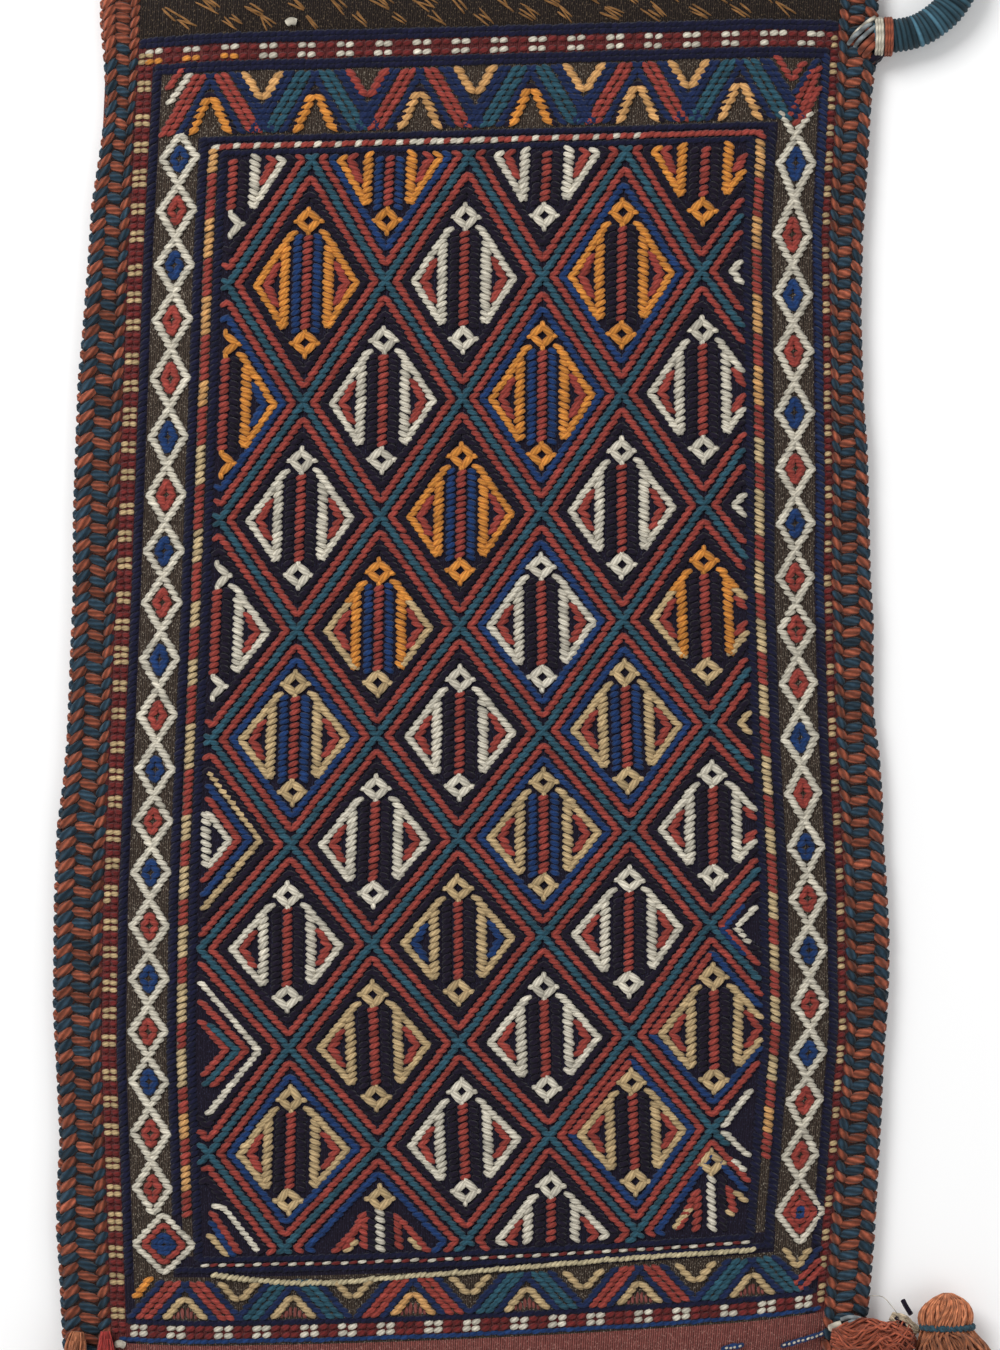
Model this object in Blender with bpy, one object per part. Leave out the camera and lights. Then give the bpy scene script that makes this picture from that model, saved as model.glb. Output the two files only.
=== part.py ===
"""A soumak woven bag: one folded strip of cloth, bound up both sides, with a hanging loop and wool tassels.

The bag lies on its back with its mouth toward +Y. Every woven shape is drawn on the flat cloth, as millimetres
across it from its left edge and along it from its mouth, and is then laid on the filled-out front face.
"""

import math

import bmesh
import bpy
from mathutils import Vector
from mathutils.geometry import delaunay_2d_cdt

# The cloth, flat: its width over the side bindings, and its length from the mouth to the fold at the bottom.
WIDTH = 318.0
LENGTH = 575.0
CLOTH = 2.4
GAP = 0.3
MARGIN = 0.4
THICK = 18.6
SEAM_LOW = 2.6
SEAM_HIGH = 7.7

# How far each side's edge stands to the right of a straight one: (distance from the mouth, left, right).
DRIFT = (
    (0.0, 11.0, 4.0),
    (117.5, 5.0, -1.6),
    (257.5, 0.0, 0.2),
    (377.5, -5.0, 6.6),
    (437.5, -5.8, 7.8),
    (LENGTH, -1.0, -3.0),
)

# What lies across the cloth: each band ends this far in from its own side's outer edge.
CLOTH_EDGE = 3.2
LINE = 4.0
BINDING_L, BINDING_R = 16.0, 15.0
CHECK_L, CHECK_R = BINDING_L + 6.4, BINDING_R + 3.4
OUTER_LINE_L, OUTER_LINE_R = CHECK_L + LINE, CHECK_R + LINE
DIAMONDS_L, DIAMONDS_R = OUTER_LINE_L + 16.8, OUTER_LINE_R + 16.0
INNER_LINE_L, INNER_LINE_R = DIAMONDS_L + LINE, DIAMONDS_R + LINE
GUARD_L, GUARD_R = INNER_LINE_L + LINE, INNER_LINE_R + LINE
FIELD_L, FIELD_R = GUARD_L + LINE, GUARD_R + 3.6
FIELD_A0, FIELD_A1 = FIELD_L, WIDTH - FIELD_R
PANEL_A0, PANEL_A1 = OUTER_LINE_L, WIDTH - OUTER_LINE_R

# What lies along it: each band ends this far from the mouth, and the lower ones keep their place from the fold.
MOUTH_END = 31.0
TOP_LINE = MOUTH_END + 2.8
TOP_CHECK = TOP_LINE + 8.2
TOP_LINE_2 = TOP_CHECK + 3.0
TOP_ZIGZAG = TOP_LINE_2 + 26.8
TOP_LINE_3 = TOP_ZIGZAG + 2.8
TOP_GUARD = TOP_LINE_3 + 2.6
FIELD_B0 = TOP_GUARD + 2.6
FOOT = LENGTH - 19.4
LOW_CHECK = FOOT - 2.6
LOW_LINE_3 = LOW_CHECK - 5.6
LOW_ZIGZAG = LOW_LINE_3 - 1.6
CREAM = LOW_ZIGZAG - 17.6
LOW_LINE_2 = CREAM - 1.8
LOW_GUARD = LOW_LINE_2 - 2.2
LOW_LINE = LOW_GUARD - 1.8
FIELD_B1 = LOW_LINE - 2.6

# The front face rises from the seams to its flat middle at these places: (distance in, part of the rise).
RISE_L = ((BINDING_L, 0.0), (OUTER_LINE_L, 0.38), (DIAMONDS_L, 0.85), (FIELD_L, 1.0))
RISE_R = ((BINDING_R, 0.0), (OUTER_LINE_R, 0.38), (DIAMONDS_R, 0.85), (FIELD_R, 1.0))
SLOPES = tuple(a for a, _ in RISE_L) + tuple(WIDTH - a for a, _ in reversed(RISE_R))
FIFTHS = tuple(FIELD_A0 + (FIELD_A1 - FIELD_A0) * i / 5 for i in range(1, 5))
COLUMNS = (CLOTH_EDGE, 9.0) + SLOPES[:4] + FIFTHS + SLOPES[4:] + (WIDTH - 9.0, WIDTH - CLOTH_EDGE)
FOLD_START = 19.0
ROWS = (0.0, MOUTH_END) + tuple(b for b, _, _ in DRIFT[1:-1]) + (LENGTH - 75.0, LENGTH - FOLD_START)
FOLD = ((12.0, 0.95), (6.0, 0.76), (2.0, 0.46), (0.0, 0.0))

# The wrapped yarns lie over the cloth in courses, each one a thin plate at one of these heights.
GROUND = (0.3, 0.9)
FIRST = (1.2, 1.7)
SECOND = (2.0, 2.5)
THIRD = (2.8, 3.3)
CARRIED = 1.2
LONG_EDGE = LENGTH / 9.6

# The trellis: its rows of crossings close up toward the fold, and its cells are parts of the field's width.
CROSSING_ROWS = 11
FIELD_LONG, FIELD_WIDE = FIELD_B1 - FIELD_B0, FIELD_A1 - FIELD_A0
CROSSING_FIRST, CROSSING_STEP, CROSSING_CLOSING = (share * FIELD_LONG / 440.0 for share in (2.1, 49.4, 0.58))
CROSSINGS = tuple(
    FIELD_B0 + CROSSING_FIRST + CROSSING_STEP * r - CROSSING_CLOSING * r * r for r in range(CROSSING_ROWS)
)
CELL = 0.3045
CELL_START = (0.0115, 0.1637)
GOLD_ROWS = 5

# The side seams show this many blue wraps, and the wrapped loop lies clear of the ground by LOOP_LIFT.
WRAPS = 20
LOOP_RADIUS = 6.7
LOOP_LIFT = 1.9

NAVY = (0.0110, 0.0123, 0.0395, 1.0)
BLUE = (0.0137, 0.0437, 0.1470, 1.0)
TEAL = (0.0152, 0.1022, 0.1329, 1.0)
MADDER = (0.3916, 0.0529, 0.0482, 1.0)
CLOTH_RED = (0.2016, 0.0685, 0.0595, 1.0)
IVORY = (0.6939, 0.6514, 0.5583, 1.0)
GOLD = (0.6939, 0.2623, 0.0437, 1.0)
APRICOT = (0.7230, 0.3712, 0.1329, 1.0)
CAMEL = (0.5520, 0.3916, 0.1946, 1.0)
BROWN = (0.0704, 0.0545, 0.0343, 1.0)
DARK_BROWN = (0.0423, 0.0273, 0.0194, 1.0)
RUST = (0.3968, 0.0999, 0.0452, 1.0)
SLATE = (0.0437, 0.1119, 0.1529, 1.0)
CREAM_WOOL = (0.6308, 0.5271, 0.3278, 1.0)
SALMON = (0.5841, 0.1651, 0.0742, 1.0)
CRIMSON = (0.3663, 0.0437, 0.0382, 1.0)


def between(value, stations):
    """The value on the straight lines through (place, value) stations."""
    if value <= stations[0][0]:
        return stations[0][1]
    for (p, v), (q, w) in zip(stations, stations[1:]):
        if value <= q:
            return v + (w - v) * (value - p) / (q - p)
    return stations[-1][1]


def rise(a):
    return between(a, RISE_L) if a < WIDTH / 2 else between(WIDTH - a, RISE_R)


def front(a):
    return SEAM_HIGH + (THICK - SEAM_HIGH) * rise(a)


def back(a):
    return SEAM_LOW * max(0.0, 1.0 - rise(a) / 0.85)


def skew(across, b):
    """How far the woven rows stand off the square: they rise to the right, and more so at the foot."""
    top = 7.6 * across - 3.8
    low = -3.0 - 2.0 * across + 16.0 * across * across
    return top + (low - top) * b / LENGTH


def flat(a, b):
    """The place in plan of a point of the flat cloth, in millimetres."""
    left = between(b, tuple((s, drift) for s, drift, _ in DRIFT)) - WIDTH / 2
    right = between(b, tuple((s, drift) for s, _, drift in DRIFT)) + WIDTH / 2
    if a <= FIELD_A0:
        x = left + a
    elif a >= FIELD_A1:
        x = right - (WIDTH - a)
    else:
        share = (a - FIELD_A0) / (FIELD_A1 - FIELD_A0)
        x = left + FIELD_L + share * (right - left - FIELD_L - FIELD_R)
    return x, LENGTH / 2 - b + skew(a / WIDTH, b)


def on_front(a, b, h):
    x, y = flat(a, b)
    return Vector((x, y, front(a) + h)) / 1000


def material(name, colour, rough=0.9):
    made = bpy.data.materials.new(name)
    made.use_nodes = True
    shader = made.node_tree.nodes["Principled BSDF"]
    shader.inputs["Base Color"].default_value = colour
    shader.inputs["Roughness"].default_value = rough
    made.diffuse_color = colour
    return made


def finish(name, mesh, colour):
    """Closes a piece off: faces outward, one material, in the bag's collection."""
    bmesh.ops.recalc_face_normals(mesh, faces=mesh.faces)
    data = bpy.data.meshes.new(name)
    mesh.to_mesh(data)
    mesh.free()
    data.materials.append(material(name + "_finish", colour))
    piece = bpy.data.objects.new(name, data)
    bpy.data.collections["woven_bag"].objects.link(piece)
    return piece


def plate(name, colour, shapes, heights, windows=()):
    """One plate on the front face: these outlines in one, without the windows, cut where the face bends."""
    points, faces = [], []
    for outline in [*shapes, *windows]:
        turn = sum(p[0] * q[1] - q[0] * p[1] for p, q in zip(outline, outline[1:] + outline[:1]))
        faces.append(range(len(points), len(points) + len(outline)))
        points += [Vector(p) for p in (outline if turn > 0 else outline[::-1])]
    solid = set(range(len(shapes)))
    verts, _, tris, _, _, sources = delaunay_2d_cdt(points, [], [list(f) for f in faces], 1, 0.01)
    mesh = bmesh.new()
    spots = [mesh.verts.new((*p, 0.0)) for p in verts]
    for tri, source in zip(tris, sources):
        if source and set(source) <= solid:
            mesh.faces.new([spots[i] for i in tri])
    loose = [v for v in mesh.verts if not v.link_faces]
    bmesh.ops.delete(mesh, geom=loose, context="VERTS")
    bmesh.ops.dissolve_limit(mesh, angle_limit=0.014, verts=mesh.verts, edges=mesh.edges)
    runs = [e.verts[0].co - e.verts[1].co for e in mesh.edges]
    wide, long = max(abs(r.x) for r in runs) > LONG_EDGE, max(abs(r.y) for r in runs) > LONG_EDGE
    if not FIELD_A0 - 0.1 < min(v.co.x for v in mesh.verts) < FIELD_A1:
        long = max(v.co.y for v in mesh.verts) - min(v.co.y for v in mesh.verts) > LONG_EDGE
    cuts = [((a, 0, 0), (1, 0, 0)) for a in (COLUMNS if wide else SLOPES)]
    cuts += [((0, b, 0), (0, 1, 0)) for b in ROWS if long]
    for place, normal in cuts:
        every = mesh.verts[:] + mesh.edges[:] + mesh.faces[:]
        bmesh.ops.bisect_plane(mesh, geom=every, plane_co=place, plane_no=normal, dist=1e-3)
    grown = bmesh.ops.extrude_face_region(mesh, geom=mesh.faces[:], use_keep_orig=True)["geom"]
    top = {v for v in grown if isinstance(v, bmesh.types.BMVert)}
    for v in mesh.verts:
        v.co = on_front(v.co.x, v.co.y, heights[1] if v in top else heights[0])
    return finish(name, mesh, colour)


def box(a0, b0, a1, b1):
    return [(a0, b0), (a1, b0), (a1, b1), (a0, b1)]


def stripe(points, width):
    """The outline of a band of one width along these points, mitred at its corners."""
    line = [Vector(p) for p in points]
    sides = []
    for i, p in enumerate(line):
        before = (p - line[i - 1]).normalized() if i else None
        after = (line[i + 1] - p).normalized() if i + 1 < len(line) else None
        way = ((before or after) + (after or before)).normalized()
        across = Vector((-way.y, way.x))
        lean = before or after
        across *= width / 2 / max(0.3, across.dot(Vector((-lean.y, lean.x))))
        sides.append((p + across, p - across))
    return [tuple(s[0]) for s in sides] + [tuple(s[1]) for s in reversed(sides)]


def clipped(outline, a0, b0, a1, b1):
    """The part of an outline inside a rectangle, or an empty list."""
    walls = ((0, a0, 1), (0, a1, -1), (1, b0, 1), (1, b1, -1))
    for axis, limit, sign in walls:
        kept = []
        for p, q in zip(outline, outline[1:] + outline[:1]):
            in_p, in_q = (p[axis] - limit) * sign >= 0, (q[axis] - limit) * sign >= 0
            if in_p:
                kept.append(p)
            if in_p != in_q:
                t = (limit - p[axis]) / (q[axis] - p[axis])
                kept.append((p[0] + t * (q[0] - p[0]), p[1] + t * (q[1] - p[1])))
        outline = kept
        if len(outline) < 3:
            return []
    tidy = [p for p, q in zip(outline, outline[1:] + outline[:1]) if math.dist(p, q) > 0.02]
    area = sum(p[0] * q[1] - q[0] * p[1] for p, q in zip(tidy, tidy[1:] + tidy[:1])) / 2
    return tidy if len(tidy) > 2 and abs(area) > 1.5 else []


def in_field(outline):
    return clipped(outline, FIELD_A0 + GAP, FIELD_B0 + GAP, FIELD_A1 - GAP, FIELD_B1 - GAP)


def field_a(share):
    return FIELD_A0 + share * (FIELD_A1 - FIELD_A0)


def bag_cloth():
    """The folded strip: front, fold and back in one, open at the mouth and with its long edges free."""
    path = [(b, 1.0) for b in ROWS]
    path += [(LENGTH - e, f) for e, f in FOLD]
    path += [(LENGTH - e, -f) for e, f in reversed(FOLD[:-1])]
    path += [(b, -1.0) for b in reversed(ROWS)]
    mesh = bmesh.new()
    skins = []
    for inner in (False, True):
        rows = []
        for b, f in path:
            row = []
            for a in COLUMNS:
                mid, half = (front(a) + back(a)) / 2, (front(a) - back(a)) / 2
                end = LENGTH - b
                if inner:
                    half -= CLOTH
                    end = end if end > FOLD_START else CLOTH + end * (1.0 - CLOTH / FOLD_START)
                x, y = flat(a, b)
                row.append(mesh.verts.new(Vector((x, y - (LENGTH - b) + end, mid + half * f)) / 1000))
            rows.append(row)
        skins.append(rows)
        for r, s in zip(rows, rows[1:]):
            for i in range(len(COLUMNS) - 1):
                mesh.faces.new((r[i], r[i + 1], s[i + 1], s[i]))
    outer, inner = skins
    for j in range(len(path) - 1):
        for i in (0, -1):
            mesh.faces.new((outer[j][i], outer[j + 1][i], inner[j + 1][i], inner[j][i]))
    for i in range(len(COLUMNS) - 1):
        for j in (0, -1):
            mesh.faces.new((outer[j][i], outer[j][i + 1], inner[j][i + 1], inner[j][i]))
    return finish("bag_cloth", mesh, CLOTH_RED)


def channel(side, profile, spans):
    """A closed bar of one section along each span of a side seam; the section is (in from the edge, height)."""
    mesh = bmesh.new()
    for stations in spans:
        rings = []
        for b in stations:
            x, y = flat(0.0 if side == "left" else WIDTH, b)
            way = 1 if side == "left" else -1
            rings.append([mesh.verts.new(Vector((x + way * inward, y, z)) / 1000) for inward, z in profile])
        size = len(profile)
        for near, far in zip(rings, rings[1:]):
            for j in range(size):
                mesh.faces.new((near[j], near[(j + 1) % size], far[(j + 1) % size], far[j]))
        mesh.faces.new(rings[0][::-1])
        mesh.faces.new(rings[-1])
    return mesh


def bindings():
    """The overcast side seams: a channel of rust yarn round both edges of the cloth, and blue wraps over it."""
    for side, deep in (("left", BINDING_L), ("right", BINDING_R)):
        low, high, wall = SEAM_LOW, SEAM_HIGH, CLOTH_EDGE - GAP
        core = (
            (deep, high + 0.3), (deep, high + 1.1), (3.2, high + 1.1), (0.9, high - 0.7), (0.9, low + 1.0),
            (3.2, low - 1.1), (deep, low - 1.1), (deep, low - 0.3), (wall, low - 0.3), (wall, high + 0.3),
        )
        rows = [GAP, *ROWS[2:6], LENGTH]
        finish(f"binding_{side}_rust", channel(side, core, [rows]), RUST)
        wrap = (
            (deep, high + 1.4), (deep, high + 2.0), (2.6, high + 2.0), (0.0, high - 0.3), (0.0, low + 0.6),
            (2.6, low - 2.0), (deep, low - 2.0), (deep, low - 1.4), (3.0, low - 1.4), (0.6, low + 0.8),
            (0.6, high - 0.5), (3.0, high + 1.4),
        )
        pitch = LENGTH / WRAPS
        spans = [((i + 0.26) * pitch, (i + 0.74) * pitch) for i in range(WRAPS)]
        wraps = finish(f"binding_{side}_blue", channel(side, wrap, spans), SLATE)
        middle = (low + high) / 2
        edge = ((0.05, middle + 0.6), (0.55, middle + 0.6), (0.55, middle - 0.4), (0.05, middle - 0.4))
        rows = [0.3 * pitch, *ROWS[2:6], (WRAPS - 0.3) * pitch]
        spine = finish(f"spine_{side}", channel(side, edge, [rows]), SLATE)
        joined = wraps.modifiers.new("spine", "BOOLEAN")
        joined.operation = "UNION"
        joined.object = spine
        spine.hide_render = True
        spine.display_type = "WIRE"
        bpy.data.collections["woven_bag"].objects.unlink(spine)
        bpy.data.collections["cutters"].objects.link(spine)


def grounds():
    """The woven grounds: the mouth band, the brown frame of the panel, and the dark field inside it."""
    edge_l, edge_r = BINDING_L + MARGIN, WIDTH - BINDING_R - MARGIN
    plate("mouth_band", DARK_BROWN, [box(edge_l, MARGIN / 2, edge_r, MOUTH_END - GAP)], GROUND)
    hole = box(FIELD_A0 - GAP, FIELD_B0 - GAP, FIELD_A1 + GAP, FIELD_B1 + GAP)
    plate("panel_ground", BROWN, [box(edge_l, MOUTH_END, edge_r, LOW_CHECK - GAP)], GROUND, [hole])
    plate("field_ground", NAVY, [box(FIELD_A0, FIELD_B0, FIELD_A1, FIELD_B1)], GROUND)
    plate("foot_line", BLUE, [box(edge_l, LOW_CHECK, edge_r, FOOT)], GROUND)


def trellis():
    """The crossing ropes of the field: teal down the middle, on red that also makes the bar of each cell."""
    field = box(FIELD_A0 + GAP, FIELD_B0 + GAP, FIELD_A1 - GAP, FIELD_B1 - GAP)
    red, teal = [], []
    for r in range(len(CROSSINGS)):
        for k in range(-1, 5):
            at = cell(r, k)
            teal.append(in_field([at(-76.4, 0), at(0, -108.5), at(76.4, 0), at(0, 108.5)]))
            for s in (-1, 1):
                window = ((66, 0), (1.5, 92), (4.5, 40), (4.5, -40), (1.5, -92))
                red.append(in_field([at(s * x, y) for x, y in window]))
    plate("trellis_red", MADDER, [field], SECOND, [window for window in red if window])
    plate("trellis_teal", TEAL, [field], THIRD, [window for window in teal if window])


def cells():
    """Every cell that has a motif, as (row, place in the row, diagonal)."""
    for r in range(len(CROSSINGS)):
        for k in range(3 if r % 2 else 4):
            yield r, k, (2 * k + r % 2 + r) // 2


def cell(r, k):
    """A function from places in a cell, each in steps of 0.4 mm from its middle, to the flat cloth."""
    b = CROSSINGS[r]
    above = b - CROSSINGS[r - 1] if r else CROSSINGS[1] - b
    below = CROSSINGS[r + 1] - b if r + 1 < len(CROSSINGS) else above
    mid = field_a(CELL_START[r % 2] + CELL * k)
    return lambda across, along: (mid + across * FIELD_WIDE / 532.0, b + along * (below if along > 0 else above) / 115.0)


def motifs():
    """The leaf pairs and knobs of the cells. A yarn is carried on from cell to cell down each diagonal."""
    runs = {}
    for r, k, diagonal in cells():
        colour = "ivory" if diagonal % 2 == 0 else "gold" if r < GOLD_ROWS else "camel"
        at = cell(r, k)
        run = runs.setdefault((colour, diagonal), [])
        for s in (-1, 1):
            run.append(in_field([at(s * 55, 0), at(s * 16, -50), at(s * 16, 50)]))
            run.append(in_field([at(-12, s * 59), at(0, s * 46), at(12, s * 59), at(0, s * 72)]))
        run.append(in_field(stripe([at(-20, 0), at(20, 0)], CARRIED)))
        run.append(in_field(stripe([at(0, -59), at(0, 59)], CARRIED)))
        if (r + 1, k - 1 + r % 2, diagonal) in set(cells()) and (colour != "gold" or r + 1 < GOLD_ROWS):
            after = cell(r + 1, k - 1 + r % 2)
            run.append(in_field(stripe([at(-30, 22), after(30, -22)], CARRIED)))
    count = {}
    for (colour, _), run in sorted(runs.items()):
        count[colour] = count.get(colour, 0) + 1
        paint = {"ivory": IVORY, "gold": GOLD, "camel": CAMEL}[colour]
        plate(f"motif_{colour}_{count[colour]}", paint, [shape for shape in run if shape], FIRST)


def stripes():
    """The straight stripes that frame the panel and the field: navy lines, a light check and a red guard."""
    half, binding = GAP / 2, MARGIN - GAP / 2
    panel = (BINDING_L + binding, TOP_LINE, BINDING_R + binding, LOW_CHECK - half)
    check = (CHECK_L, TOP_CHECK, CHECK_R, LOW_LINE_3)
    outer = (OUTER_LINE_L, TOP_LINE_2, OUTER_LINE_R, LOW_ZIGZAG)
    diamonds = (DIAMONDS_L, TOP_ZIGZAG, DIAMONDS_R, LOW_LINE_2)
    inner = (INNER_LINE_L, TOP_LINE_3, INNER_LINE_R, LOW_GUARD)
    guard = (GUARD_L, TOP_GUARD, GUARD_R, LOW_LINE)
    field = (FIELD_L, FIELD_B0, FIELD_R, FIELD_B1)
    frames = (
        ("check_stripe", IVORY, panel, check),
        ("stripe_outer", NAVY, check, outer),
        ("stripe_inner", NAVY, diamonds, inner),
        ("guard_stripe", MADDER, inner, guard),
        ("stripe_field", NAVY, guard, field),
    )
    for name, colour, (left, top, right, low), (hole_l, hole_t, hole_r, hole_b) in frames:
        edge = box(left + half, top + half, WIDTH - right - half, low - half)
        window = box(hole_l - half, hole_t - half, WIDTH - hole_r + half, hole_b + half)
        plate(name, colour, [edge], FIRST, [window])
    line = box(panel[0] + half, MOUTH_END + half, WIDTH - panel[2] - half, TOP_LINE - half)
    plate("stripe_mouth", NAVY, [line], FIRST)
    cord = box(DIAMONDS_L + 5, LOW_LINE_2 + half, WIDTH - DIAMONDS_R - 5, CREAM - half)
    plate("cream_cord", CREAM_WOOL, [cord], THIRD)


def side_diamonds():
    """The chain of diamonds up each side: crossing ivory ropes over a chain of red lozenges."""
    b0, b1 = TOP_ZIGZAG + 1.0, CREAM
    sides = (("left", OUTER_LINE_L, DIAMONDS_L, 21), ("right", WIDTH - DIAMONDS_R, WIDTH - OUTER_LINE_R, 20))
    for side, a0, a1, count in sides:
        mid, reach = (a0 + a1) / 2, (a1 - a0) / 2 - 1.9
        step = (b1 - b0) / count
        ropes, lozenges = [], [box(mid - 0.6, b0 + 4, mid + 0.6, b1 - 4)]
        for way in (-1, 1):
            turns = range(2 * count + 1)
            swing = [(mid + way * reach * (0, 1, 0, -1)[i % 4], b0 + i * step / 2) for i in turns]
            ropes.append(clipped(stripe(swing, 2.2), a0 + GAP, b0, a1 - GAP, b1))
        for i in range(count):
            b = b0 + (i + 0.5) * step
            lozenges.append([(mid - 3.9, b), (mid, b - 6.4), (mid + 3.9, b), (mid, b + 6.4)])
        plate(f"diamond_chain_{side}", IVORY, ropes, SECOND)
        plate(f"lozenges_{side}", MADDER, lozenges, FIRST)


def zigzags():
    """The bands of peaks across the cloth: a red zigzag, every other peak teal, and light chevrons round it."""
    bands = (
        ("top", TOP_LINE_2, TOP_ZIGZAG, 54.0, 42.7, APRICOT),
        ("low", CREAM, LOW_ZIGZAG, 43.0, 45.2, CAMEL),
    )
    for name, b0, b1, first, pitch, light in bands:
        low, high = b1 - 0.4, b0 + 0.4
        tall = low - high
        inside = (PANEL_A0 + GAP, high, PANEL_A1 - GAP, low)
        chevrons = [box(inside[0], low - 0.8, inside[2], low), box(inside[0], high, inside[2], high + 0.8)]
        chevrons.append(box(inside[0], high, inside[0] + 0.8, low))
        teal = [box(inside[0], high, inside[2], high + 0.8)]
        peaks = []
        for i in range(-1, 8):

            def line(points, width, at=first + i * pitch):
                spots = [(at + across * pitch / 42.7, low - up * tall) for across, up in points]
                return clipped(stripe(spots, width), *inside)

            peak = line([(-21.9, -0.1), (0.0, 0.97), (21.9, -0.1)], 5.6)
            peaks.append(peak)
            if i % 2 == 0 and inside[0] < first + i * pitch < inside[2]:
                teal.append(peak)
            chevrons.append(line([(-9.2, -0.1), (0.0, 0.46), (9.2, -0.1)], 2.6))
            chevrons.append(line([(13.2, 1.1), (21.35, 0.52), (29.5, 1.1)], 2.4))
        plate(f"zigzag_{name}_red", MADDER, [shape for shape in peaks if shape], SECOND)
        plate(f"zigzag_{name}_teal", TEAL, [shape for shape in teal if shape], THIRD)
        plate(f"chevrons_{name}", light, [shape for shape in chevrons if shape], FIRST)


def tube(name, points, radius, colour, closed=False, pressed=1.0):
    """A round cord along these points, in millimetres, capped, and then pressed to this share of its height."""
    curve = bpy.data.curves.new(name + "_line", "CURVE")
    curve.dimensions = "3D"
    curve.bevel_depth = radius
    curve.bevel_resolution = 2
    curve.use_fill_caps = True
    line = curve.splines.new("POLY")
    line.points.add(len(points) - 1)
    for spot, place in zip(line.points, points):
        spot.co = (*place[:3], 1.0)
        spot.radius = place[3] if len(place) > 3 else 1.0
    line.use_cyclic_u = closed
    holder = bpy.data.objects.new(name + "_line", curve)
    bpy.data.collections["woven_bag"].objects.link(holder)
    made = bpy.data.meshes.new_from_object(holder.evaluated_get(bpy.context.evaluated_depsgraph_get()))
    mesh = bmesh.new()
    mesh.from_mesh(made)
    bpy.data.meshes.remove(made)
    bpy.data.objects.remove(holder)
    bpy.data.curves.remove(curve)
    bmesh.ops.remove_doubles(mesh, verts=mesh.verts, dist=0.00005)
    bmesh.ops.scale(mesh, vec=(0.001, 0.001, 0.001 * pressed), verts=mesh.verts)
    piece = finish(name, mesh, colour)
    piece.data.shade_smooth()
    piece.data.set_sharp_from_angle(angle=math.radians(50))
    return piece


def round_path(points, spacing):
    """Points at an even spacing along a smooth line through these points."""
    line = [Vector(p) for p in points]
    line = [2 * line[0] - line[1]] + line + [2 * line[-1] - line[-2]]
    fine = []
    for p, q, r, s in zip(line, line[1:], line[2:], line[3:]):
        for i in range(16):
            t = i / 16
            bend = (2 * p - 5 * q + 4 * r - s) * t * t + (3 * q - p - 3 * r + s) * t**3
            fine.append(0.5 * (2 * q + (r - p) * t + bend))
    fine.append(line[-2])
    steps = [0.0]
    for p, q in zip(fine, fine[1:]):
        steps.append(steps[-1] + (q - p).length)
    count = max(2, round(steps[-1] / spacing))
    out, i = [], 0
    for k in range(count + 1):
        want = steps[-1] * k / count
        while i < len(steps) - 2 and steps[i + 1] < want:
            i += 1
        share = (want - steps[i]) / max(1e-9, steps[i + 1] - steps[i])
        out.append(tuple(fine[i].lerp(fine[i + 1], min(1.0, max(0.0, share)))))
    return out


def from_corner(a, b, offsets):
    """Points placed from a corner of the cloth, in millimetres; what follows a height is a share of the radius."""
    x, y = flat(a, b)
    return [(x + right, y + up, *rest) for right, up, *rest in offsets]


def hanging_loop():
    """The wrapped cord at the top right corner, and the two yarns that lash its end to the side seam."""
    z = LOOP_RADIUS + LOOP_LIFT
    route = (
        (-0.8, -36.9, z), (9.0, -36.1, z), (17.0, -34.3, z), (24.0, -30.3, z), (30.0, -24.8, z),
        (34.5, -17.3, z), (36.0, -8.3, z), (34.0, 1.2, z), (28.0, 9.2, z), (19.0, 14.3, z),
        (9.0, 15.7, z), (-0.4, 13.3, z), (-6.0, 7.7, z), (-7.5, 1.1, z),
    )
    tube("hanging_loop", round_path(from_corner(WIDTH, 0.0, route), 7.0), LOOP_RADIUS, SLATE)
    around = LOOP_RADIUS + 1.3
    for i, (right, up) in enumerate(((1.4, -36.8), (5.2, -36.6))):
        turns = [math.tau * k / 12 for k in range(12)]
        ring = [(right, up + around * math.cos(t), z + around * math.sin(t)) for t in turns]
        tube(f"loop_lashing_{i + 1}", from_corner(WIDTH, 0.0, ring), 0.5, (IVORY, RUST)[i], closed=True)


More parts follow.
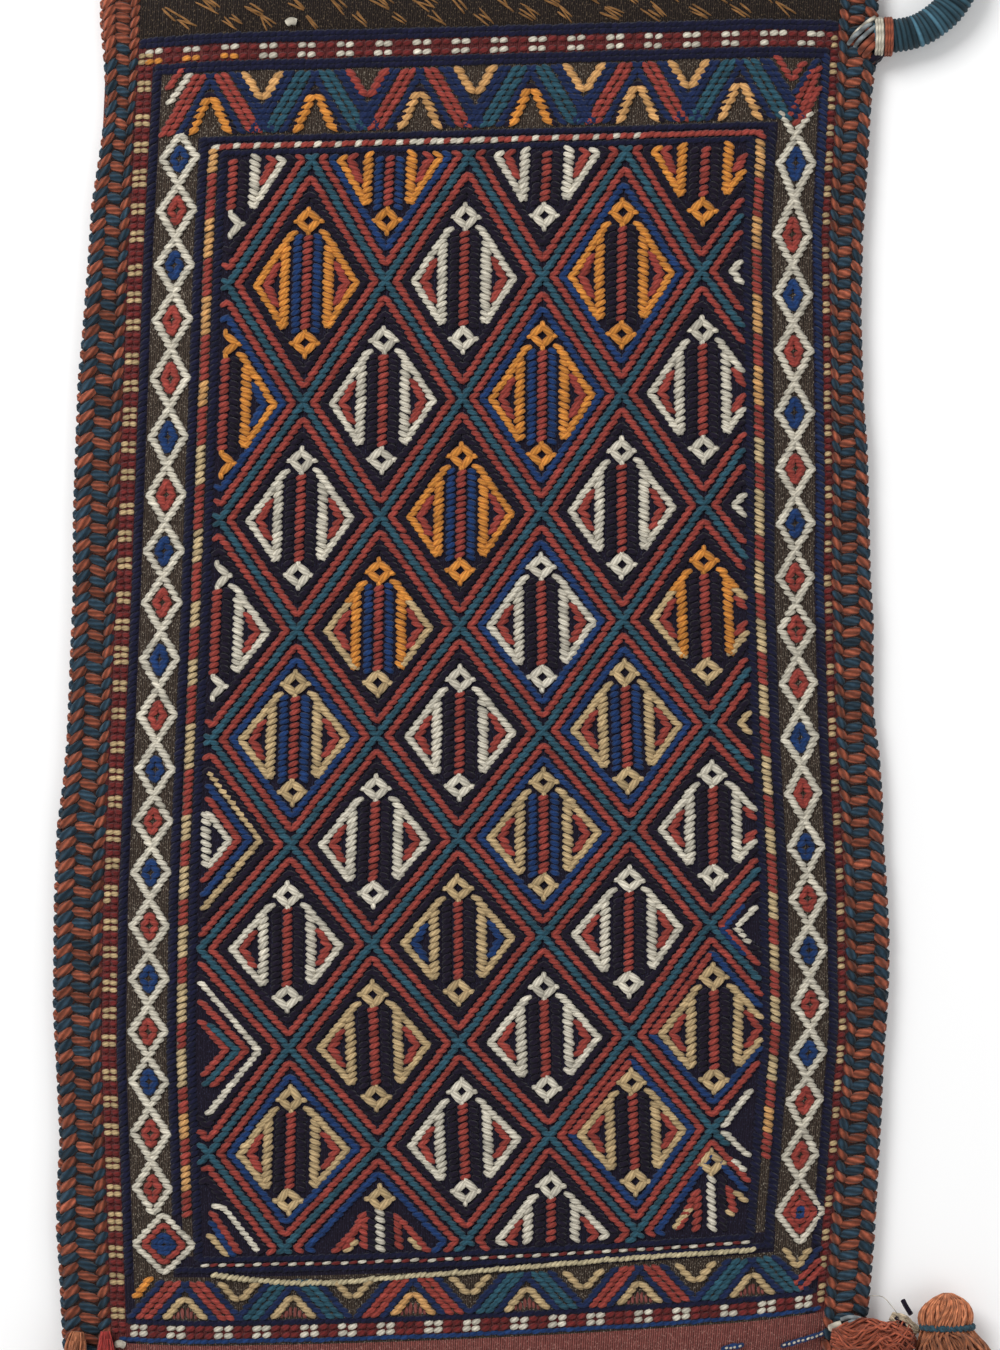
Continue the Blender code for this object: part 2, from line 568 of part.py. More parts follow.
def tassels():
    """The wool tassels at the two bottom corners, the tie round the large one, and a scrap of felt beside it."""
    pressed, tie_up, tie_z = 0.66, 12.1, 10.9
    bunch = (
        (35.8, 25.2, 10.9, 0.2), (35.8, 23.8, 10.9, 0.5), (35.8, 21.0, 10.9, 0.82), (35.8, 17.4, 10.9, 1.0),
        (35.8, 14.0, 10.9, 0.98), (35.9, tie_up, tie_z, 0.87), (36.0, 10.0, 10.9, 0.92), (36.3, 6.6, 11.5, 1.06),
        (36.8, 2.6, 13.5, 1.25), (37.6, -3.0, 14.9, 1.36), (38.0, -12.0, 14.6, 1.32),
        (38.3, -22.0, 12.2, 1.1), (38.4, -29.0, 8.8, 0.7),
    )
    tube("tassel_right", from_corner(WIDTH, LENGTH, bunch), 10.6, SALMON, pressed=pressed)
    turns = [math.tau * k / 16 for k in range(16)]
    tie = [(35.9 + 10.9 * math.cos(t), tie_up, tie_z + 10.9 * math.sin(t)) for t in turns]
    tube("tassel_right_tie", from_corner(WIDTH, LENGTH, tie), 0.7, SLATE, closed=True, pressed=pressed)
    tuft = (
        (-11.0, 10.0, 15.2, 0.4), (-6.0, 9.5, 16.0, 0.9), (2.0, 9.0, 16.1, 1.0), (11.0, 8.0, 13.6, 1.0),
        (18.0, 6.5, 10.4, 0.9), (23.0, 5.4, 8.6, 0.5),
    )
    tube("tassel_right_tuft", from_corner(WIDTH, LENGTH, tuft), 6.0, SALMON)
    scrap = ((12.5, 17.4, 6.9, 0.6), (16.5, 15.4, 6.9, 1.0), (20.5, 13.2, 6.8, 0.8), (24.0, 12.1, 7.2, 0.4))
    tube("tassel_right_scrap", from_corner(WIDTH, LENGTH, scrap), 3.0, CREAM_WOOL)
    long_lock = (
        (2.5, 24.5, 14.2, 0.5), (2.0, 18.5, 14.6, 0.9), (1.5, 7.5, 14.7, 1.0), (0.5, -2.0, 14.2, 1.0),
        (-0.5, -8.5, 9.6, 0.9), (-1.0, -15.5, 5.6, 0.7), (-1.5, -22.5, 4.0, 0.4),
    )
    tube("tassel_left", from_corner(0.0, LENGTH, long_lock), 4.6, SALMON)
    short_lock = (
        (13.5, 24.5, 13.0, 0.5), (14.0, 15.5, 13.7, 1.0), (14.5, 5.5, 13.7, 1.0), (14.8, -2.5, 13.6, 1.0),
        (15.0, -8.5, 9.0, 0.9), (15.0, -15.5, 4.6, 0.6),
    )
    tube("tassel_left_short", from_corner(0.0, LENGTH, short_lock), 3.6, CRIMSON)


def main():
    for old in list(bpy.data.objects):
        bpy.data.objects.remove(old)
    bpy.context.scene.unit_settings.system = "METRIC"
    for group in ("woven_bag", "cutters"):
        bpy.context.scene.collection.children.link(bpy.data.collections.new(group))
    bag_cloth()
    grounds()
    trellis()
    motifs()
    stripes()
    side_diamonds()
    zigzags()
    bindings()
    hanging_loop()
    tassels()


main()
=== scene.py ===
"""Tribal bag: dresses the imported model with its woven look, stitch by stitch.

Lengths are millimetres until a mesh is made, which is in metres. A place on the cloth is (a, b): a runs
from the left edge to the right edge, and b from the mouth down to the fold. Places read off the photo are in
its pixels, of 0.4 mm each, and ORIGIN is the pixel at the frame's origin. The tables of LAYOUT that pull, push
and lean the cloth follow edges measured in the photo. A float is one visible stretch of yarn.
"""

import logging
import math
from dataclasses import dataclass, replace
from enum import Enum
from typing import Callable, Sequence

import bpy
import numpy as np
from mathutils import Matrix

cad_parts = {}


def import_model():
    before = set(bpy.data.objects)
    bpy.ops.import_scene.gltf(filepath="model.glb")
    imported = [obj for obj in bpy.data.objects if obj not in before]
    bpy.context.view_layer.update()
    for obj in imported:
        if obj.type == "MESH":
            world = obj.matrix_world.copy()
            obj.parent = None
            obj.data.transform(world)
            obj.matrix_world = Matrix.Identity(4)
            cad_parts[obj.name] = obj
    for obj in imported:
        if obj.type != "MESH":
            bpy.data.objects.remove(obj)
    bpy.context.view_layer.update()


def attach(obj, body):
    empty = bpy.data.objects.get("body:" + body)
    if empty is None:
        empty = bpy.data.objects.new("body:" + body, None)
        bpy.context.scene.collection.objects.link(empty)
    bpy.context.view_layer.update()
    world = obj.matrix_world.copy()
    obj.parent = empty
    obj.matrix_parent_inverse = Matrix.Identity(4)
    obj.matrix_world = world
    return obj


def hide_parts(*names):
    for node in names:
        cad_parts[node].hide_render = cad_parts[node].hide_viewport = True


LOG = logging.getLogger("tribal_bag")
PIXEL = 0.4
ORIGIN = (470.0, 669.0)
BODY = "root"

Points = Sequence[tuple[float, float]]


class Yarn(Enum):
    """The dyed yarns: the record's slot and the colour in sRGB."""

    NAVY = ("navy_wool", "#160F20")
    MIDNIGHT = ("navy_wool", "#14152E")
    BLUE = ("blue_wool", "#1C3765")
    INDIGO = ("blue_wool", "#1A274A")
    TEAL = ("teal_wool", "#2B5160")
    RED = ("red_wool", "#943F37")
    DARK_RED = ("crimson_wool", "#6C2726")
    IVORY = ("ivory_wool", "#CCC5B4")
    GOLD = ("gold_wool", "#CB843A")
    APRICOT = ("apricot_wool", "#CB9A62")
    CAMEL = ("camel_wool", "#B9A077")
    CREAM = ("cream_wool", "#BDB08E")
    RUST = ("rust_wool", "#94503B")
    SLATE = ("slate_wool", "#33505D")
    INK = ("slate_wool", "#2C4150")
    MIST = ("slate_wool", "#8B9294")
    MADDER = ("madder_cloth", "#7C4640")
    SALMON = ("salmon_wool", "#B1704F")
    ROSE = ("salmon_wool", "#A2553E")
    CRIMSON = ("crimson_wool", "#A73D39")
    HAIR = ("brown_wool", "#8A6238")
    STRAW = ("camel_wool", "#C2AB82")
    FELT = ("cream_wool", "#CDBBA0")

    @property
    def slot(self) -> str:
        """The record's material slot."""
        return self.value[0]

    @property
    def shade(self) -> str:
        """The colour as sRGB hex."""
        return self.value[1]


def linear(shade: str) -> tuple[float, float, float, float]:
    """Turns an sRGB hex colour into the linear colour that a socket takes."""
    parts = [int(shade[i:i + 2], 16) / 255 for i in (1, 3, 5)]
    return (*[p / 12.92 if p < 0.04045 else ((p + 0.055) / 1.055) ** 2.4 for p in parts], 1.0)


def spot(right: float, down: float) -> tuple[float, float]:
    """Turns a pixel of the photo into x and y in millimetres."""
    return (right - ORIGIN[0]) * PIXEL, (ORIGIN[1] - down) * PIXEL


def spots(*places: tuple[float, float]) -> list[tuple[float, float]]:
    """Turns several pixels of the photo into millimetres."""
    return [spot(*place) for place in places]


@dataclass(frozen=True)
class Layout:
    """The flat cloth, its lean, and the height of its two faces."""

    width: float = 318.0
    length: float = 575.0
    left_field: float = 55.2
    right_field: float = 268.0
    top_field: float = 79.8
    low_field: float = 519.8
    drift: tuple = ((0, 11, 4), (117.5, 5, -1.6), (257.5, 0, 0.2), (377.5, -5, 6.6), (437.5, -5.8, 7.8),
                    (575, -1, -3))
    rise_left: tuple = ((16, 0), (26.4, 0.38), (43.2, 0.85), (55.2, 1))
    rise_right: tuple = ((15, 0), (22.4, 0.38), (38.4, 0.85), (50, 1))
    pull_left: tuple = ((0, -0.5), (22, 0), (40, 2.5), (56, 4.0), (74, 2.6), (96, 0.4), (120, 0), (150, -1.2),
                        (168, -2.2), (222, -2.2), (250, -1.2), (312, -1.2), (330, -2), (348, -3.6),
                        (420, -3.4), (440, -2.2), (474, -1.8), (492, -3.4), (510, -4.4), (528, -3.8),
                        (575, -3.2))
    pull_right: tuple = ((0, 2.5), (45, 3.0), (62, 1.7), (110, 1.2), (150, -0.2), (186, 0.4), (204, 1.6),
                         (240, 2), (276, 2.4), (300, 1), (312, 0.5), (330, 1.9), (348, 2.2), (366, 1.6),
                         (402, 2.8), (420, 2.4), (438, 1.2), (456, 1.2), (474, 2), (510, 2.8), (528, 3.2),
                         (575, 3))
    push_columns: tuple = ((240, 0), (268, 1.6), (285, 1.9), (298, 2.7), (303, 2.2), (318, 0))
    push_rows: tuple = ((0, 1), (220, 1), (320, 0))
    top_skew: tuple = (7.6, -3.8)
    low_skew: tuple = (16, -2, -3)
    left_seam: float = 16.0
    right_seam: float = 15.0
    low: float = 2.6
    high: float = 7.7
    swell: float = 10.9
    flat_share: float = 0.85

    def sides(self, b: np.ndarray) -> tuple[np.ndarray, np.ndarray]:
        """The x of the left and the right edge at b."""
        rows = np.array(self.drift)
        return (np.interp(b, rows[:, 0], rows[:, 1]) - self.width / 2,
                np.interp(b, rows[:, 0], rows[:, 2]) + self.width / 2)

    def skew(self, u: np.ndarray, b: np.ndarray) -> np.ndarray:
        """How far a row is lifted at the share u of the width."""
        top, low = np.polyval(self.top_skew, u), np.polyval(self.low_skew, u)
        return top + (low - top) * b / self.length

    def push(self, a: np.ndarray, b: np.ndarray) -> np.ndarray:
        """How far the upper right of the frame sits to the right."""
        columns, rows = np.array(self.push_columns), np.array(self.push_rows)
        return np.interp(a, columns[:, 0], columns[:, 1]) * np.interp(b, rows[:, 0], rows[:, 1])

    def plan(self, a: np.ndarray, b: np.ndarray) -> tuple[np.ndarray, np.ndarray]:
        """The x and y of a place on the cloth."""
        a, b = np.asarray(a, float), np.asarray(b, float)
        left, right = self.sides(b)
        share = (a - self.left_field) / (self.right_field - self.left_field)
        start, end = left + self.left_field, right - (self.width - self.right_field)
        x = np.where(share <= 0, left + a, np.where(share >= 1, right - (self.width - a),
                                                    start + share * (end - start))) + self.push(a, b)
        for pulls, inset, seam in ((self.pull_left, a, self.left_seam),
                                   (self.pull_right, self.width - a, self.right_seam)):
            rows = np.array(pulls)
            x = x + np.interp(b, rows[:, 0], rows[:, 1]) * (1 - inset / seam).clip(0)
        return x, self.length / 2 - b + self.skew(a / self.width, b)

    def unplan(self, x: np.ndarray, y: np.ndarray) -> tuple[np.ndarray, np.ndarray]:
        """The place on the cloth at x and y."""
        x, y = np.asarray(x, float), np.asarray(y, float)
        a, b = x + self.width / 2, self.length / 2 - y
        for _ in range(5):
            left, right = self.sides(b)
            start, end = left + self.left_field, right - (self.width - self.right_field)
            near = x - self.push(a, b)
            share = (near - start) / (end - start)
            a = np.where(share <= 0, near - left, np.where(share >= 1, self.width - (right - near),
                         self.left_field + share * (self.right_field - self.left_field)))
            b = self.length / 2 - y + self.skew(a / self.width, b)
        return a, b

    def rise(self, a: np.ndarray) -> np.ndarray:
        """The part of the swell that the cloth has at a."""
        left, right = np.array(self.rise_left), np.array(self.rise_right)
        return np.minimum(np.interp(a, left[:, 0], left[:, 1]),
                          np.interp(self.width - np.asarray(a), right[:, 0], right[:, 1]))

    def front(self, a: np.ndarray) -> np.ndarray:
        """The height of the front face at a."""
        return self.high + self.swell * self.rise(a)

    def back(self, a: np.ndarray) -> np.ndarray:
        """The height of the back face at a."""
        return self.low * np.maximum(0, 1 - self.rise(a) / self.flat_share)

    def course(self, a: float, start: float, end: float) -> list[tuple[float, float]]:
        """The points of a line down the cloth at a, from start to end."""
        rows = np.arange(start, end + 6, 6).clip(max=end)
        return list(zip(*self.plan(np.full(len(rows), a), rows)))

    def across(self, b: float, start: float, end: float) -> list[tuple[float, float]]:
        """The points of a line across the cloth at b, from start to end."""
        places = np.arange(start, end + 6, 6).clip(max=end)
        return list(zip(*self.plan(places, np.full(len(places), b))))


LAYOUT = Layout()


def add_node(tree: bpy.types.NodeTree, kind: str, inputs: dict | None = None, **settings) -> bpy.types.Node:
    """Adds a shader node.

    Args:
        tree: The node tree.
        kind: The node's type name.
        inputs: What each input is set to, or the output that it is linked to.
        settings: The node's own settings.

    Returns:
        The new node.
    """
    node = tree.nodes.new(kind)
    for name, value in settings.items():
        setattr(node, name, value)
    for name, value in (inputs or {}).items():
        if isinstance(value, bpy.types.NodeSocket):
            tree.links.new(value, node.inputs[name])
        else:
            node.inputs[name].default_value = value
    return node


@dataclass(frozen=True)
class Wool:
    """A yarn's finish: matt, mottled, with a twist along each strand whose grooves hold painted shade, and a
    fuzz of fibres.
    """

    name: str
    shade: str
    twist: float = 0.35
    mottle: float = 0.16
    speck: str = ""
    specks: float = 0.0
    ribs: bool = False
    # How much darker the colour is in the twist's grooves or between the ribs: painted shade.
    groove_shade: float = 0.32
    ply: float = 0.5
    deep: float = 0.0004

    def make(self) -> bpy.types.Material:
        """Makes the material, or gives the one of this name."""
        if self.name in bpy.data.materials:
            return bpy.data.materials[self.name]
        material = bpy.data.materials.new(self.name)
        material.use_nodes = True
        tree = material.node_tree
        tree.nodes.clear()
        out = add_node(tree, "ShaderNodeOutputMaterial")
        place = add_node(tree, "ShaderNodeTexCoord").outputs["Object"]
        strand = add_node(tree, "ShaderNodeUVMap", uv_map="strand").outputs["UV"]
        tone = add_node(tree, "ShaderNodeAttribute", attribute_name="tone").outputs["Fac"]
        blotch = add_node(tree, "ShaderNodeTexNoise", {"Vector": place, "Scale": 420.0, "Detail": 4.0,
                                                       "Roughness": 0.7}).outputs["Fac"]
        spread = add_node(tree, "ShaderNodeMapRange", {"Value": blotch, "From Min": 0.3, "From Max": 0.7,
                                                       "To Min": 1 - self.mottle, "To Max": 1 + self.mottle})
        light = add_node(tree, "ShaderNodeMath", {0: spread.outputs["Result"], 1: tone}, operation="MULTIPLY")
        spun = add_node(tree, "ShaderNodeMapping", {"Vector": strand,
                                                    "Scale": (0.3, 1.0, 1.0)}).outputs["Vector"]
        ply = add_node(tree, "ShaderNodeTexWave", {"Vector": strand if self.ribs else spun,
                                                   "Scale": 0.349 if self.ribs else self.ply,
                                                   "Distortion": 0.8, "Detail": 1.0},
                       bands_direction="Y" if self.ribs else "DIAGONAL").outputs["Fac"]
        # The colour darkens in the grooves of the twist, or between the ribs: painted shade.
        groove_shade = add_node(tree, "ShaderNodeMapRange", {"Value": ply, "To Min": 1 - self.groove_shade,
                                                       "To Max": 1.08})
        light = add_node(tree, "ShaderNodeMath", {0: light.outputs["Value"], 1: groove_shade.outputs["Result"]},
                         operation="MULTIPLY")
        colour = add_node(tree, "ShaderNodeHueSaturation", {"Color": linear(self.shade),
                                                            "Value": light.outputs["Value"]}).outputs["Color"]
        if self.specks:
            fleck = add_node(tree, "ShaderNodeTexNoise", {"Vector": add_node(
                tree, "ShaderNodeMapping", {"Vector": place, "Scale": (1.5, 1.0, 1.0)}).outputs["Vector"],
                "Scale": 1250.0, "Detail": 2.0}).outputs["Fac"]
            mask = add_node(tree, "ShaderNodeMapRange", {"Value": fleck, "From Min": 0.58, "From Max": 0.68,
                                                         "To Max": self.specks}).outputs["Result"]
            mix = add_node(tree, "ShaderNodeMix", data_type="RGBA")
            tree.links.new(mask, mix.inputs[0])
            tree.links.new(colour, mix.inputs[6])
            mix.inputs[7].default_value = linear(self.speck)
            colour = mix.outputs[2]
        fuzz = add_node(tree, "ShaderNodeTexNoise", {"Vector": place, "Scale": 1500.0, "Detail": 5.0,
                                                     "Roughness": 0.75}).outputs["Fac"]
        rough = add_node(tree, "ShaderNodeBump", {"Height": fuzz, "Strength": 0.55, "Distance": 0.0005})
        bump = add_node(tree, "ShaderNodeBump", {"Height": ply, "Strength": self.twist, "Distance": self.deep,
                                                 "Normal": rough.outputs["Normal"]})
        shader = add_node(tree, "ShaderNodeBsdfPrincipled", {
            "Base Color": colour, "Roughness": 0.92, "Specular IOR Level": 0.14, "Sheen Weight": 0.09,
            "Sheen Roughness": 0.5, "Normal": bump.outputs["Normal"]})
        tree.links.new(shader.outputs["BSDF"], out.inputs["Surface"])
        return material


def yarn_finish(yarn: Yarn, twist: float = 0.35, plied: bool = False) -> Wool:
    """The finish of a dyed yarn, thick and plied or thin."""
    name = f"{yarn.name.lower()}_yarn_{round(twist * 100)}"
    if plied:
        return Wool(f"{name}_plied", yarn.shade, twist, 0.3, groove_shade=0.55, ply=0.36, deep=0.0008)
    return Wool(name, yarn.shade, twist)


@dataclass(frozen=True)
class Grain:
    """One float of yarn, modelled once and copied: unit long along x, unit wide, unit high."""

    points: np.ndarray
    corners: np.ndarray
    around: np.ndarray

    @classmethod
    def model(cls, segments: int, rings: int, blunt: float = 0.62) -> "Grain":
        """Models the float from a sphere: blunt at its ends and flattened below.

        Args:
            segments: The sides around it.
            rings: The rows along it.
            blunt: How full it stays toward its ends: lower is fuller.

        Returns:
            The float, cut into triangles, which are sorted because Blender's order changes from run to run.
        """
        bpy.ops.object.select_all(action="DESELECT")
        bpy.ops.mesh.primitive_uv_sphere_add(segments=segments, ring_count=rings, radius=0.5,
                                             rotation=(0, math.pi / 2, 0))
        piece = bpy.context.object
        bpy.ops.object.transform_apply(location=False, rotation=True, scale=False)
        bpy.ops.object.mode_set(mode="EDIT")
        bpy.ops.mesh.select_all(action="SELECT")
        bpy.ops.mesh.quads_convert_to_tris()
        bpy.ops.object.mode_set(mode="OBJECT")
        mesh = piece.data
        points = np.empty(len(mesh.vertices) * 3)
        mesh.vertices.foreach_get("co", points)
        points = points.reshape(-1, 3)
        corners = np.empty(len(mesh.polygons) * 3, int)
        mesh.polygons.foreach_get("vertices", corners)
        girth = np.hypot(points[:, 1], points[:, 2])
        full = np.where(girth > 1e-6, (girth * 2).clip(1e-6, 1) ** blunt / 2, 0)
        scale = np.where(girth > 1e-6, full / girth.clip(1e-6), 0)
        points[:, 1:] *= scale[:, None]
        points[:, 2] = np.where(points[:, 2] < 0, points[:, 2] * 0.75, points[:, 2])
        around = np.arctan2(points[:, 2], points[:, 1]) / math.pi
        bpy.data.objects.remove(piece)
        turned = sorted(tuple(np.roll(corner, -corner.argmin())) for corner in corners.reshape(-1, 3))
        return cls(points, np.array(turned), around)


def make_piece(name: str, points: np.ndarray, corners: np.ndarray, strand: np.ndarray, tone: np.ndarray,
               finish: Wool) -> bpy.types.Object:
    """Makes a smooth piece that rides on the bag.

    Args:
        name: The piece's name.
        points: Its vertices in millimetres.
        corners: Its triangles.
        strand: Each vertex's place along and around its strand, in millimetres.
        tone: Each vertex's lightness: its random tone, with painted shade and painted highlight where its
            caller adds them.
        finish: Its finish.

    Returns:
        The new object.
    """
    mesh = bpy.data.meshes.new(name)
    mesh.vertices.add(len(points))
    mesh.vertices.foreach_set("co", (points / 1000).astype(np.float32).ravel())
    mesh.loops.add(corners.size)
    mesh.loops.foreach_set("vertex_index", corners.ravel().astype(np.int32))
    mesh.polygons.add(len(corners))
    mesh.polygons.foreach_set("loop_start", np.arange(0, corners.size, 3, dtype=np.int32))
    mesh.polygons.foreach_set("use_smooth", np.ones(len(corners), bool))
    layer = mesh.uv_layers.new(name="strand")
    layer.data.foreach_set("uv", strand[corners.ravel()].astype(np.float32).ravel())
    mesh.attributes.new("tone", "FLOAT", "POINT").data.foreach_set("value", tone.astype(np.float32))
    mesh.update(calc_edges=True)
    mesh.validate()
    piece = bpy.data.objects.new(name, mesh)
    bpy.context.collection.objects.link(piece)
    mesh.materials.append(finish.make())
    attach(piece, BODY)
    LOG.info("%s: %d triangles", name, len(corners))
    return piece


@dataclass(frozen=True)
class Stitch:
    """One kind of float in a rope; without a slant of its own it leans by a part of the rope's angle."""

    pitch: float = 2.75
    length: float = 5.1
    width: float = 2.45
    lift: float = 1.15
    slant: float | None = None
    lean: float = 0.46
    thick: float = 2.0


def in_light(at: np.ndarray, run: tuple[float, float], start: float = 0.0) -> np.ndarray:
    """Which distances lie in the light part of a run, given as its period and its light length."""
    return (at - start) % run[0] < run[1]


class Loom:
    """Lays yarn floats over the cloth and gathers them by piece."""

    spreads = (0.12, 0.12, 0.06, 0.18, 0.08, 0.07)
    end_dip = 1.1

    def __init__(self, grain: Grain, seed: int) -> None:
        """Takes the float to copy and the seed of its small differences."""
        self.grain = grain
        self.random = np.random.default_rng(seed)
        self.rows: dict[str, list[np.ndarray]] = {}

    def lay(self, piece: str, rows: np.ndarray) -> None:
        """Adds floats, one a row: x, y, angle, length, width, height over the cloth, thickness."""
        if len(rows):
            self.rows.setdefault(piece, []).append(rows)

    def one(self, piece: str, x: float, y: float, degrees: float, length: float, width: float,
            lift: float = 1.15, thick: float = 1.9) -> None:
        """Adds a single float at x and y."""
        self.lay(piece, np.array([[x, y, math.radians(degrees), length, width, lift, thick]]))

    def rope(self, piece: str | Callable[[np.ndarray], np.ndarray], points: Points, stitch: Stitch = Stitch(),
             names: Sequence[str] = ()) -> None:
        """Adds a wrapped rope: slanting floats in a row along a line.

        Args:
            piece: The piece that takes the floats, or what picks one of names from each distance along.
            points: The line, in millimetres.
            stitch: The kind of float.
            names: The pieces to pick from.
        """
        line = np.asarray(points, float)
        runs = np.diff(line, axis=0)
        far = np.hypot(runs[:, 0], runs[:, 1])
        ends = np.concatenate([[0], np.cumsum(far)])
        if ends[-1] < 0.5 * stitch.pitch:
            return
        count = max(1, round(ends[-1] / stitch.pitch))
        at = (np.arange(count) + 0.5) * ends[-1] / count
        x, y = np.interp(at, ends, line[:, 0]), np.interp(at, ends, line[:, 1])
        run = runs[np.clip(np.searchsorted(ends, at) - 1, 0, len(runs) - 1)]
        heading = np.arctan2(run[:, 1], run[:, 0])
        heading = (heading + math.pi / 2) % math.pi - math.pi / 2
        angle = heading * stitch.lean if stitch.slant is None else np.full(count, math.radians(stitch.slant))
        sizes = np.tile((stitch.length, stitch.width, stitch.lift, stitch.thick), (count, 1))
        rows = np.column_stack([x, y, angle, sizes])
        if names:
            picked = piece(at)
            for i, name in enumerate(names):
                self.lay(name, rows[picked == i])
        else:
            self.lay(piece, rows)

    def within(self, box: tuple[float, float, float, float], pieces: Sequence[str]) -> None:
        """Drops the floats of these pieces whose middle is outside a box of the cloth: a0, b0, a1, b1."""
        for piece in pieces:
            kept = []
            for rows in self.rows.get(piece, []):
                a, b = LAYOUT.unplan(rows[:, 0], rows[:, 1])
                kept.append(rows[(a > box[0]) & (a < box[2]) & (b > box[1]) & (b < box[3])])
            self.rows[piece] = kept

    def weave(self, piece: str, yarn: Yarn, replaces: Sequence[str] = ()) -> None:
        """Makes the piece of all floats laid under its name."""
        rows = np.concatenate(self.rows.pop(piece))
        count, grain = len(rows), self.grain
        draw = self.random.normal
        changes = [draw(0, spread, count) for spread in self.spreads]
        rows = rows + np.stack([*changes, np.zeros(count)], axis=1)
        x, y, angle, length, width, lift, thick = (rows[:, i:i + 1] for i in range(7))
        along, side = grain.points[None, :, 0] * length, grain.points[None, :, 1] * width
        px = x + along * np.cos(angle) - side * np.sin(angle)
        py = y + along * np.sin(angle) + side * np.cos(angle)
        dip = self.end_dip * (2 * np.abs(grain.points[None, :, 0])) ** 3
        a, _ = LAYOUT.unplan(px, py)
        pz = LAYOUT.front(a) + lift + grain.points[None, :, 2] * thick - dip
        points = np.stack([px, py, pz], axis=2).reshape(-1, 3)
        size = len(grain.points)
        corners = (grain.corners[None] + np.arange(count)[:, None, None] * size).reshape(-1, 3)
        strand = np.stack([along + draw(0, 2, (count, 1)), grain.around[None] * width], axis=2).reshape(-1, 2)
        # Each float is darker toward its ends: painted shade where it dips between its neighbours.
        ends = 1.04 - 0.34 * np.abs(2 * grain.points[None, :, 0]) ** 3
        tone = (draw(1.0, 0.12, (count, 1)).clip(0.7, 1.4) * ends).ravel()
        made = make_piece(piece, points, corners, strand, tone, yarn_finish(yarn))
        if replaces:
            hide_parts(*replaces)


